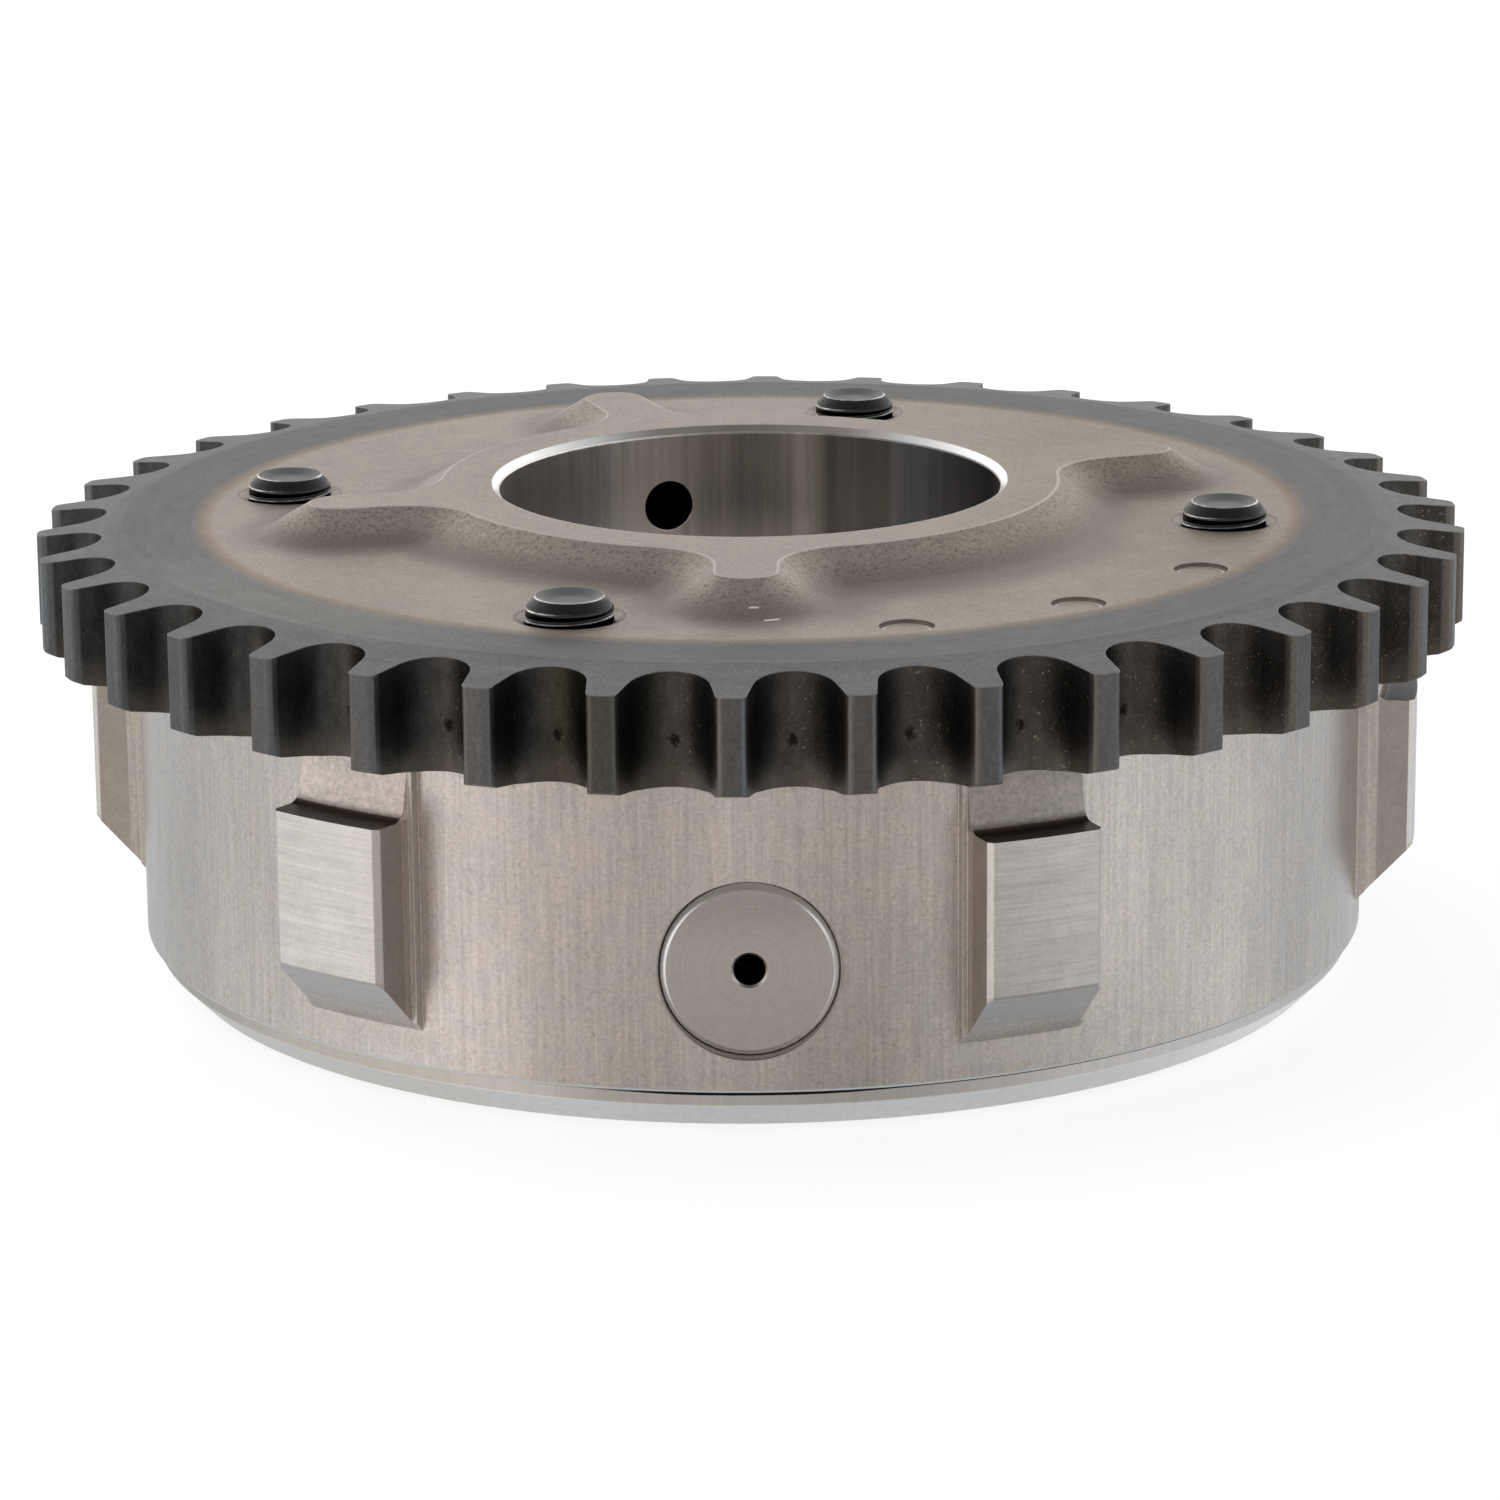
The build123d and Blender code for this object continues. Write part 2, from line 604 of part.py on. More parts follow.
def seal_bar(back, front, angle):
    """A seal bar between its back and its curved running face, both given as radii."""
    width = SEAL_WIDTH - 2 * SEAL_SIDE_CLEARANCE
    inner, outer = min(back, front), max(back, front)
    reach = 2 * SEAL_WIDTH
    section = bar(inner - reach, outer + reach, width, angle)
    if front > back:
        section = section & Circle(front) & bar(back, outer + reach, width, angle)
    else:
        section = section - Circle(front)
        section = section & bar(inner - reach, back, width, angle)
        section = section & bar(front - 1, back, width, angle)
    height = rotor_top - rotor_bottom - 2 * SEAL_END_CLEARANCE
    return Pos(0, 0, rotor_bottom + SEAL_END_CLEARANCE) * extrude(section, height)


def leaf_spring(floor, back, angle):
    """A bowed leaf between a slot's floor and a seal's back, both given as radii."""
    sign = 1 if back > floor else -1
    near = floor + sign * LEAF_CLEARANCE
    far = back - sign * LEAF_CLEARANCE
    half = LEAF_LENGTH / 2
    middle = (rotor_bottom + rotor_top) / 2
    inner = ThreePointArc(
        (far - sign * LEAF_THICKNESS, middle - half),
        (near, middle),
        (far - sign * LEAF_THICKNESS, middle + half),
    )
    outer = ThreePointArc(
        (far, middle - half),
        (near + sign * LEAF_THICKNESS, middle),
        (far, middle + half),
    )
    ends = [Line(inner @ 0, outer @ 0), Line(inner @ 1, outer @ 1)]
    face = make_face(Plane.XZ * (Curve() + [inner, outer] + ends))
    return Rot(0, 0, angle) * extrude(face, LEAF_WIDTH / 2, both=True)


def make_lock_pin():
    """The stepped lock pin, drawn back clear of the rotor, hollow behind for its spring."""
    radius = PIN_RADIUS - PIN_CLEARANCE
    nose_radius = PIN_NOSE_RADIUS - PIN_CLEARANCE
    pin = turned(
        (0, pin_nose),
        (nose_radius - PIN_NOSE_CHAMFER, pin_nose),
        (nose_radius, pin_nose + PIN_NOSE_CHAMFER),
        (nose_radius, pin_shoulder),
        (radius, pin_shoulder),
        (radius, pin_tail),
        (PIN_BORE_RADIUS, pin_tail),
        (PIN_BORE_RADIUS, pin_tail - PIN_BORE_DEPTH),
        (0, pin_tail - PIN_BORE_DEPTH),
    )
    return radial(pin, PIN_ANGLE, pin_height)


def make_lock_pin_plug():
    """The turned plug that closes the lock pin's bore, with the vent behind the pin."""
    radius = PLUG_RADIUS - PIN_CLEARANCE / 2
    pocket = plug_seat + PLUG_POCKET_DEPTH
    plug = turned(
        (PIN_BORE_RADIUS, plug_seat),
        (radius, plug_seat),
        (radius, plug_face_radius - PLUG_CHAMFER),
        (radius - PLUG_CHAMFER, plug_face_radius),
        (VENT_RADIUS + VENT_CHAMFER, plug_face_radius),
        (VENT_RADIUS, plug_face_radius - VENT_CHAMFER),
        (VENT_RADIUS, pocket),
        (PIN_BORE_RADIUS, pocket),
    )
    return radial(plug, PIN_ANGLE, pin_height)


def make_lock_pin_spring():
    """The coil spring between the lock pin and its plug."""
    start = pin_tail - PIN_BORE_DEPTH + SPRING_WIRE_RADIUS + PIN_CLEARANCE
    end = plug_seat + PLUG_POCKET_DEPTH - SPRING_WIRE_RADIUS - PIN_CLEARANCE
    coil_radius = PIN_BORE_RADIUS - SPRING_SIDE_CLEARANCE - SPRING_WIRE_RADIUS
    length = end - start
    path = Helix(pitch=length / SPRING_TURNS, height=length, radius=coil_radius)
    section = RegularPolygon(SPRING_WIRE_RADIUS, SPRING_WIRE_SIDES)
    wire = Plane(origin=path @ 0, z_dir=path % 0) * section
    spring = Pos(0, 0, start) * sweep(wire, path=path)
    return radial(spring, PIN_ANGLE, pin_height)


def save(name, shape):
    """Writes one piece and prints its volume."""
    solids = shape.solids()
    shape = solids[0] if len(solids) == 1 else Compound(solids)
    shape.label = name
    export_step(shape, f"parts/{name}.step")
    print(f"{name}: {len(solids)} solid, {shape.volume:.1f} mm3")


save("sprocket", make_sprocket())
save("housing", make_housing())
save("cover_plate", make_cover())
rotor = make_rotor()
hub = rotor
for number, span in enumerate(VANE_SPANS, 1):
    hub -= vane_space(span)
    save(f"rotor_vane_{number}", rotor & vane_space(span))
save("rotor", hub)
save("lock_pin", make_lock_pin())
save("lock_pin_spring", make_lock_pin_spring())
save("lock_pin_plug", make_lock_pin_plug())
save("locating_dowel", make_dowel())
for number, angle in enumerate(BOLT_ANGLES, 1):
    slot_floor = shoe_tip_radius + seal_slot_depth
    save(f"clamp_bolt_{number}", make_clamp_bolt(angle))
    seal_front = ROTOR_HUB_RADIUS + SEAL_RUNNING_GAP
    seal_back = slot_floor - LEAF_SPACE
    save(f"shoe_seal_{number}", seal_bar(seal_back, seal_front, angle))
    save(f"shoe_seal_spring_{number}", leaf_spring(slot_floor, seal_back, angle))
for number, span in enumerate(VANE_SPANS, 1):
    angle = sum(span) / 2
    slot_floor = vane_tip_radius - seal_slot_depth
    seal_front = chamber_radius - SEAL_RUNNING_GAP
    seal_back = slot_floor + LEAF_SPACE
    save(f"vane_seal_{number}", seal_bar(seal_back, seal_front, angle))
    save(f"vane_seal_spring_{number}", leaf_spring(slot_floor, seal_back, angle))
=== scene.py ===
import bpy
import json
import math
from mathutils import Matrix, Vector

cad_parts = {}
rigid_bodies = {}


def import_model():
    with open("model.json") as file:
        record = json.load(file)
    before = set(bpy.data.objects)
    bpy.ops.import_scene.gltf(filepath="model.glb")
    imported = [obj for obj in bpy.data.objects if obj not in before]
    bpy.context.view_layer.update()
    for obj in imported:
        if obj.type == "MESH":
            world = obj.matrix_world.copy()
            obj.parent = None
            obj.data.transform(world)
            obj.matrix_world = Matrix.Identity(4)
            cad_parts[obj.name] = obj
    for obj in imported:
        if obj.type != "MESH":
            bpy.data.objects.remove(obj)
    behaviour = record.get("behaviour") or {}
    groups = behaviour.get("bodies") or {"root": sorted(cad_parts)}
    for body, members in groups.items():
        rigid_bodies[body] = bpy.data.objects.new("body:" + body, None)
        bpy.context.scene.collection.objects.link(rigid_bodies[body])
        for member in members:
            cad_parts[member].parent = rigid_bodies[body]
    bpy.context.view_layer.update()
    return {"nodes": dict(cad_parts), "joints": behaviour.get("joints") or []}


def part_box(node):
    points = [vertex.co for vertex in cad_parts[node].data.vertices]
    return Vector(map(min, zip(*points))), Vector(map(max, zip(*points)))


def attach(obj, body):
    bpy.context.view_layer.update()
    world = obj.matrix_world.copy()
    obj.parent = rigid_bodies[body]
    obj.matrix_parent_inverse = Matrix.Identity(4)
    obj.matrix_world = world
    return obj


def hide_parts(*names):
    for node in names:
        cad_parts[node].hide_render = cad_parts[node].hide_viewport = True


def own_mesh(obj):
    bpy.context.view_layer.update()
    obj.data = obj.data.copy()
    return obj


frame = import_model()
parts = frame["nodes"]
mm = 0.001
print("frame loaded:", len(parts), "nodes")

# Heights and places that the finishes follow, in millimetres, most of them read off the frame
hubHeight = 2.6
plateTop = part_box("sprocket")[1].z / mm - hubHeight
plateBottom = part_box("housing")[1].z / mm
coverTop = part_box("cover_plate")[1].z / mm


def boxMiddle(name):
    low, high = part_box(name)
    return (low + high) / 2 / mm


fours = (1, 2, 3, 4)  # bolts, vanes, seals and leaf springs
boltCentres = [boxMiddle(f"clamp_bolt_{number}") for number in fours]
plugCentre = boxMiddle("lock_pin_plug")
plugAngle = math.atan2(plugCentre.y, plugCentre.x)


# A node tree under construction: sockets or plain numbers go in, sockets come out
class Graph:
    def __init__(self, tree):
        self.tree = tree
        self.tree.nodes.clear()

    def add(self, kind):
        node = self.tree.nodes.new(kind)
        node.location = (180 * len(self.tree.nodes), 0)
        return node

    def feed(self, socket, value):
        if isinstance(value, bpy.types.NodeSocket):
            self.tree.links.new(value, socket)
        elif isinstance(value, tuple) and len(value) == 3 and socket.type == "RGBA":
            socket.default_value = (*value, 1)
        else:
            socket.default_value = value

    def math(self, operation, first, second=0.0, third=0.0, clamp=False):
        node = self.add("ShaderNodeMath")
        node.operation = operation
        node.use_clamp = clamp
        for socket, value in zip(node.inputs, (first, second, third)):
            self.feed(socket, value)
        return node.outputs[0]

    def square(self, value):
        return self.math("MULTIPLY", value, value)

    def length(self, first, second):
        return self.math("SQRT", self.math("ADD", self.square(first), self.square(second)))

    def vector(self, operation, first, second=(0, 0, 0), scale=1.0):
        node = self.add("ShaderNodeVectorMath")
        node.operation = operation
        self.feed(node.inputs[0], first)
        if operation == "SCALE":
            self.feed(node.inputs["Scale"], scale)
        else:
            self.feed(node.inputs[1], second)
        return node.outputs["Value" if operation == "DOT_PRODUCT" else "Vector"]

    def split(self, vector):
        node = self.add("ShaderNodeSeparateXYZ")
        self.feed(node.inputs[0], vector)
        return node.outputs

    def joined(self, x, y, z):
        node = self.add("ShaderNodeCombineXYZ")
        for socket, value in zip(node.inputs, (x, y, z)):
            self.feed(socket, value)
        return node.outputs[0]

    # 0 below the first value and 1 above the second, or the other way round
    def step(self, value, start, end):
        node = self.add("ShaderNodeMapRange")
        node.interpolation_type = "SMOOTHSTEP"
        self.feed(node.inputs["Value"], value)
        node.inputs["From Min"].default_value = start
        node.inputs["From Max"].default_value = end
        return node.outputs[0]

    # 1 between two values, with soft ends
    def band(self, value, low, high, soft):
        rise = self.step(value, low - soft, low + soft)
        return self.math("MULTIPLY", rise, self.within(value, high, soft))

    # 1 below a value and 0 above it, with a soft edge
    def within(self, value, edge, soft):
        return self.step(value, edge + soft, edge - soft)

    def times(self, first, *others):
        for other in others:
            first = self.math("MULTIPLY", first, other)
        return first

    def plus(self, first, *others):
        for other in others:
            first = self.math("ADD", first, other)
        return first

    def most(self, first, *others):
        for other in others:
            first = self.math("MAXIMUM", first, other)
        return first

    def less(self, value):
        return self.math("SUBTRACT", 1.0, value, clamp=True)

    def mixed(self, factor, first, second):
        span = self.math("SUBTRACT", second, first)
        return self.math("MULTIPLY_ADD", factor, span, first)

    def blend(self, factor, first, second):
        node = self.add("ShaderNodeMix")
        node.data_type = "RGBA"
        node.clamp_result = False
        self.feed(node.inputs["Factor"], factor)
        colours = [socket for socket in node.inputs if socket.type == "RGBA"]
        self.feed(colours[0], first)
        self.feed(colours[1], second)
        return [socket for socket in node.outputs if socket.type == "RGBA"][0]


# A metal or plastic finish: places and lengths in millimetres, patterns from 0 to 1
class Finish(Graph):
    def __init__(self, name):
        self.material = bpy.data.materials.new(name)
        self.material.use_nodes = True
        super().__init__(self.material.node_tree)
        coords = self.add("ShaderNodeTexCoord")
        self.place = self.vector("SCALE", coords.outputs["Object"], scale=1 / mm)
        self.x, self.y, self.z = self.split(self.place)
        self.radius = self.length(self.x, self.y)
        self.angle = self.math("ARCTAN2", self.y, self.x)
        self.up = self.split(coords.outputs["Normal"])[2]

    def noise(self, vector, scale, detail=2.0, roughness=0.5):
        node = self.add("ShaderNodeTexNoise")
        self.feed(node.inputs["Vector"], vector)
        node.inputs["Scale"].default_value = scale
        node.inputs["Detail"].default_value = detail
        node.inputs["Roughness"].default_value = roughness
        return node.outputs[0]

    # The places for a pattern that is stretched along an axis with a small share
    def squeezed(self, x, y, z):
        return self.vector("MULTIPLY", self.place, (x, y, z))

    # Turning marks: fine rings round an axis, by the distance from it
    def rings(self, away, perMillimetre, detail, roughness):
        spread = self.joined(self.times(away, perMillimetre), 0.0, 0.0)
        return self.noise(spread, 1.0, detail, roughness)

    # 1 where the height over the plate's face has passed from the first value to the second
    def overPlate(self, start, end):
        return self.step(self.z, plateTop + start, plateTop + end)

    # How far a point lies along a direction seen from above, and how far to its left
    def along(self, turned):
        return self.plus(
            self.times(self.x, math.cos(turned)), self.times(self.y, math.sin(turned)))

    def across(self, turned):
        return self.plus(
            self.times(self.x, -math.sin(turned)), self.times(self.y, math.cos(turned)))

    # How far a point lies from an upright line
    def awayFrom(self, x, y):
        return self.length(self.math("SUBTRACT", self.x, x), self.math("SUBTRACT", self.y, y))

    # Where a point lies beside the plug's axis, seen from outside: sideways, upward, in all
    def awayFromPlug(self):
        across = self.across(plugAngle)
        lift = self.math("SUBTRACT", self.z, plugCentre.z)
        return across, lift, self.length(across, lift)

    # How far a point lies from the straight line between two places, seen from above
    def awayFromLine(self, start, end):
        length = math.dist(start, end)
        ux, uy = (end[0] - start[0]) / length, (end[1] - start[1]) / length
        dx = self.math("SUBTRACT", self.x, start[0])
        dy = self.math("SUBTRACT", self.y, start[1])
        along = self.plus(self.times(dx, ux), self.times(dy, uy))
        across = self.math("SUBTRACT", self.times(dx, uy), self.times(dy, ux))
        over = self.most(self.math("SUBTRACT", along, length), self.times(along, -1.0), 0.0)
        return self.length(across, over)

    # The angle from the nearest of evenly spaced directions, in radians
    def wrapped(self, firstDegrees, count):
        half = math.pi / count
        turned = self.math("SUBTRACT", self.angle, math.radians(firstDegrees))
        return self.math("WRAP", turned, half, -half)

    # Lightens and darkens a colour by patterns from 0 to 1, each followed by its amount
    def mottled(self, colour, pattern, amount, *more):
        gain = self.math("MULTIPLY_ADD", pattern, 2 * amount, 1 - amount)
        colour = self.vector("SCALE", colour, scale=gain)
        return self.mottled(colour, *more) if more else colour

    def tinted(self, factor, colour, tint):
        return self.vector("MULTIPLY", colour, self.blend(factor, (1.0, 1.0, 1.0), tint))

    # The normal with its edges softly rounded
    def roundedNormal(self, radius):
        node = self.add("ShaderNodeBevel")
        node.samples = 6
        node.inputs["Radius"].default_value = radius * mm
        return node.outputs[0]

    # 1 on edges that the rounding has turned, 0 on the open surface
    def edges(self, normal):
        geometry = self.add("ShaderNodeNewGeometry")
        agreement = self.vector("DOT_PRODUCT", normal, geometry.outputs["Normal"])
        return self.step(agreement, 1.0, 0.75)

    def bumped(self, normal, height, depth):
        node = self.add("ShaderNodeBump")
        node.inputs["Strength"].default_value = 1
        node.inputs["Distance"].default_value = depth * mm
        self.feed(node.inputs["Height"], height)
        self.feed(node.inputs["Normal"], normal)
        return node.outputs[0]

    def finish(self, colour, roughness, metal, normal):
        shader = self.add("ShaderNodeBsdfPrincipled")
        self.feed(shader.inputs["Base Color"], colour)
        self.feed(shader.inputs["Roughness"], roughness)
        self.feed(shader.inputs["Metallic"], metal)
        self.feed(shader.inputs["Normal"], normal)
        output = self.add("ShaderNodeOutputMaterial")
        self.tree.links.new(shader.outputs[0], output.inputs["Surface"])
        return self.material


# Sprocket: sintered plate and hub, a hardened dark rim, machined bore and countersinks
sprocketLook = {
    "plate": (0.430, 0.374, 0.320),
    "plateRight": (0.88, 0.87, 0.84),
    "foot": (0.25, 0.215, 0.18),
    "pitted": (0.18, 0.155, 0.13),
    "crest": (0.66, 0.61, 0.55),
    "tint": (0.96, 0.86, 0.74),
    "rim": (0.160, 0.154, 0.151),
    "rimLeft": (1.38, 1.38, 1.33),
    "bevel": (0.195, 0.190, 0.190),
    "land": (0.112, 0.108, 0.105),
    "warmStrip": (0.150, 0.135, 0.120),
    "coolStrip": (0.128, 0.134, 0.140),
    "gap": (0.060, 0.055, 0.050),
    "gapCool": (0.050, 0.051, 0.050),
    "gapWarm": (0.145, 0.122, 0.098),
    "pit": (0.008, 0.007, 0.006),
    "speck": (0.46, 0.39, 0.31),
    "wallsLeft": (0.74, 0.71, 0.62),
    "bore": (0.40, 0.368, 0.345),
    "boreLeft": (0.95, 0.91, 0.87),
    "boreStreak": (0.80, 0.72, 0.64),
    "boreBand": (0.42, 0.40, 0.40),
    "boreRight": (0.52, 0.57, 0.66),
    "chamfer": (0.95, 0.94, 0.92),
    "chamferBack": (0.46, 0.42, 0.38),
    "drilling": (0.010, 0.009, 0.008),
    "sink": (0.30, 0.265, 0.235),
    "sinkOutline": (0.07, 0.06, 0.05),
    "hole": (0.016, 0.014, 0.012),
    "dotRing": (0.80, 0.76, 0.70),
    "dotWall": (0.14, 0.12, 0.10),
    "scratch": (0.95, 0.93, 0.90),
    "worn": (0.56, 0.51, 0.47),
    "wornRim": (0.36, 0.36, 0.37),
    "hardenedFrom": 44.9,
    "hardenedTo": 47.4,
    "tintFrom": 45.4,
    "tintTo": 46.5,
    "bevelFrom": 52.7,
    "tipRadius": 59.9,
    "boreRadius": 21.1,
    "sinkRadius": 4.35,
    "holeRadius": 3.63,
    "teeth": 38,
    "firstGap": 273.23,
    "landHalfWidth": 1.3,
    "stripWidth": 0.57,
    "gapHalfWidth": 1.9,
    "pitRadius": 0.36,
    "pitLevel": 0.6,  # share of the plate's thickness, down from its face
    "dotAngles": (286.3, 306.8, 327.4),
    "dotCircle": 43.1,
    "dotRadius": 2.2,
    "hubFoot": 30.4,
    "arms": ((17.8, 37.8), (109.7, 38.4), (192.5, 37.4), (269.4, 35.9)),  # degrees, tip radius
    "armHalfWidth": 2.5,
    "armFoot": 6.9,
    "footWidth": 3.4,
    "footWider": 2.4,
    "scratches": (((-0.10, -38.75), (0.55, -38.70)), ((1.1, -39.95), (2.15, -39.6))),
    "roughness": 0.52,
    "machinedRoughness": 0.27,
    "sinkRoughness": 0.40,
    "wallRoughness": 0.42,
    "grainDepth": 0.03,
    "edgeRounding": 0.14,
}


def sprocketFinish(look):
    f = Finish("sintered_sprocket")
    grit = f.noise(f.place, 6.5, 2, 0.6)
    fine = f.noise(f.place, 3.0, 3, 0.65)
    coarse = f.noise(f.place, 0.45, 4, 0.6)
    broad = f.noise(f.place, 0.06, 2)
    roundPlate = f.joined(f.radius, f.times(f.angle, 5.0), f.times(f.z, 0.3))
    swirl = f.noise(roundPlate, 0.9, 3, 0.6)
    normal = f.roundedNormal(look["edgeRounding"])
    worn = f.edges(normal)

    plate = f.mottled(look["plate"], fine, 0.36, grit, 0.26, coarse, 0.16, broad, 0.14)
    # Painted shade: the plate darker towards its right
    plate = f.tinted(f.step(f.x, 0.0, 32.0), plate, look["plateRight"])

    # The flat was ground, but not close to the hub's foot, which stays as sintered and darker;
    # this dark is also painted shade of the foot, spread wider to the front right
    fromHub = f.math("SUBTRACT", f.radius, look["hubFoot"])
    for degrees, tip in look["arms"]:
        turned = math.radians(degrees)
        reach = tip - look["armHalfWidth"]
        end = (reach * math.cos(turned), reach * math.sin(turned))
        fromArm = f.math("SUBTRACT", f.awayFromLine((0.0, 0.0), end), look["armFoot"])
        fromHub = f.math("MINIMUM", fromHub, fromArm)
    wider = f.band(f.angle, math.radians(-80), math.radians(-22), 0.12)
    fromHub = f.math("SUBTRACT", fromHub, f.times(wider, look["footWider"]))
    unground = f.times(f.step(fromHub, look["footWidth"], -0.6), f.overPlate(1.9, 0.4))
    plate = f.blend(f.times(unground, 0.66), plate, f.mottled(look["foot"], grit, 0.4))

    # The hub's slopes are pitted, and the crest above them is rubbed pale
    slope = f.times(f.overPlate(0.3, 1.0), f.band(f.up, 0.55, 0.93, 0.03))
    pitted = f.times(slope, f.step(fine, 0.50, 0.30))
    plate = f.blend(f.times(pitted, 0.6), plate, f.mottled(look["pitted"], grit, 0.4))
    crest = f.times(f.overPlate(1.9, 2.3), f.band(f.up, 0.90, 0.990, 0.012))
    plate = f.blend(f.times(crest, 0.7), plate, look["crest"])

    rim = f.mottled(look["rim"], fine, 0.44, grit, 0.22, coarse, 0.20, swirl, 0.24)
    # Painted light on the rim towards the left front
    rim = f.tinted(f.band(f.angle, -2.75, -2.1, 0.2), rim, look["rimLeft"])
    onBevel = f.step(f.radius, look["bevelFrom"] - 1.2, look["bevelFrom"] + 2.4)
    bevel = f.mottled(look["bevel"], fine, 0.40, grit, 0.24, swirl, 0.26, coarse, 0.2)
    rim = f.blend(onBevel, rim, bevel)

    # Tooth gaps: dark, with a faint brown middle, a lighter foot, a pit and pale specks
    turn = f.wrapped(look["firstGap"], look["teeth"])
    side = f.times(turn, f.radius)
    cloudy = f.noise(f.squeezed(1.0, 1.0, 0.30), 1.1, 4, 0.65)
    gap = f.blend(f.step(side, 0.3, -2.2), look["gap"], look["gapCool"])
    gap = f.mottled(gap, coarse, 0.6, fine, 0.45, cloudy, 0.45)
    middle = f.step(f.math("ABSOLUTE", side), look["gapHalfWidth"], 0.1)
    middle = f.times(middle, f.mixed(cloudy, 0.0, 0.8))
    foot = f.step(f.z, plateBottom + 3.2, plateBottom + 0.3)
    foot = f.times(foot, f.mixed(cloudy, 0.2, 1.0))
    gap = f.blend(f.most(f.times(middle, 0.30), f.times(foot, 0.70)), gap, look["gapWarm"])
    pitHeight = plateTop - look["pitLevel"] * (plateTop - plateBottom)
    down = f.times(f.math("SUBTRACT", f.z, pitHeight), 0.8)
    ragged = f.times(f.math("SUBTRACT", fine, 0.5), 0.9)
    fromPit = f.plus(f.length(side, down), ragged)
    pit = f.step(fromPit, look["pitRadius"] * 1.5, look["pitRadius"] * 0.5)
    gap = f.blend(f.times(pit, 0.9), gap, look["pit"])
    specks = f.step(f.noise(f.place, 3.4, 3, 0.7), 0.63, 0.69)
    specks = f.times(specks, f.mixed(f.step(side, -1.0, 1.5), 0.15, 0.6))
    gap = f.blend(specks, gap, look["speck"])

    # Tooth tips: a dark land with painted highlights along its edges, a warm one and a cool one
    land = f.mottled(look["land"], fine, 0.4, cloudy, 0.3)
    half = math.pi / look["teeth"]
    fromMiddle = f.times(f.math("SUBTRACT", half, f.math("ABSOLUTE", turn)), f.radius)
    stripFrom = look["landHalfWidth"] - look["stripWidth"]
    strip = f.step(fromMiddle, stripFrom - 0.15, stripFrom + 0.15)
    warm = f.times(strip, f.step(side, -0.1, 0.1))
    cool = f.times(strip, f.step(side, 0.1, -0.1))
    land = f.blend(warm, land, f.mottled(look["warmStrip"], fine, 0.4))
    land = f.blend(cool, land, f.mottled(look["coolStrip"], fine, 0.4))
    onLand = f.step(fromMiddle, look["landHalfWidth"] + 0.12, look["landHalfWidth"])
    onLand = f.times(onLand, f.step(f.radius, look["tipRadius"] - 1.0, look["tipRadius"] - 0.7))
    walls = f.blend(onLand, gap, land)
    # Painted shade on the tooth walls a little left of the front
    walls = f.tinted(f.band(f.angle, -1.86, -1.70, 0.03), walls, look["wallsLeft"])

    hardened = f.step(f.radius, look["hardenedFrom"], look["hardenedTo"])
    tint = f.band(f.radius, look["tintFrom"], look["tintTo"], 0.5)
    outside = f.step(f.radius, 50.0, 50.5)
    wall = f.times(f.step(f.up, 0.45, 0.15), outside)
    colour = f.tinted(tint, f.blend(hardened, plate, rim), look["tint"])
    colour = f.blend(wall, colour, walls)

    # Journal bore: fine upright lines over painted light and shade in broad bands: a lit left
    # side, lit streaks, a shaded band and a cool painted reflection on the right of the back wall
    inBore = f.step(f.radius, look["boreRadius"] + 0.12, look["boreRadius"] + 0.04)
    boreLines = f.noise(f.squeezed(1.0, 1.0, 0.03), 1.4, 4, 0.65)
    boreBroad = f.noise(f.squeezed(1.0, 1.0, 0.02), 0.16, 2, 0.5)
    bore = f.blend(f.step(f.x, 2.0, -19.0), look["bore"], look["boreLeft"])
    bore = f.mottled(bore, boreLines, 0.45, boreBroad, 0.35)
    behind = f.step(f.y, 2.0, 6.0)
    leftStreak = f.times(f.band(f.x, -7.6, -5.8, 0.5), 0.3)
    rightStreak = f.times(f.band(f.x, 3.9, 5.0, 0.5), 0.35)
    bore = f.blend(f.times(f.most(leftStreak, rightStreak), behind), bore, look["boreStreak"])
    bore = f.tinted(f.times(f.band(f.x, 6.2, 12.5, 0.8), behind), bore, look["boreBand"])
    bore = f.tinted(f.times(f.step(f.x, 11.8, 13.2), behind), bore, look["boreRight"])
    colour = f.blend(inBore, colour, bore)
    # Painted highlight on the bore's chamfer at its left and right, darker across the back
    onChamfer = f.band(f.radius, look["boreRadius"] + 0.08, look["boreRadius"] + 0.62, 0.04)
    onChamfer = f.times(onChamfer, f.overPlate(1.5, 1.7))
    aside = f.step(f.math("ABSOLUTE", f.x), 7.0, 14.0)
    colour = f.blend(onChamfer, colour, f.blend(aside, look["chamferBack"], look["chamfer"]))
    # Painted shade inside the plate's holes
    inPlate = f.band(f.z, plateBottom + 0.15, plateTop - 1.0, 0.05)
    inPlate = f.times(inPlate, f.band(f.radius, look["boreRadius"] + 0.25, 46.0, 0.05))
    colour = f.blend(inPlate, colour, look["drilling"])

    # Countersinks round the bolts, with a fine dark outline and painted shade in the hole round
    # the bolt
    below = f.overPlate(-0.02, -0.06)
    deep = f.overPlate(-0.55, -0.75)
    sinkColour = f.mottled(look["sink"], fine, 0.25)
    sunk = 0.0
    for centre in boltCentres:
        away = f.awayFrom(centre.x, centre.y)
        near = f.within(away, look["sinkRadius"], 0.05)
        sink = f.times(near, below)
        outline = f.band(away, look["sinkRadius"] + 0.02, look["sinkRadius"] + 0.10, 0.05)
        hollow = f.times(f.within(away, look["holeRadius"], 0.05), below)
        colour = f.blend(f.times(sink, 0.85), colour, sinkColour)
        colour = f.blend(f.most(f.times(near, deep, 0.9), hollow), colour, look["hole"])
        colour = f.blend(f.times(outline, 0.55), colour, look["sinkOutline"])
        sunk = f.most(sink, sunk)
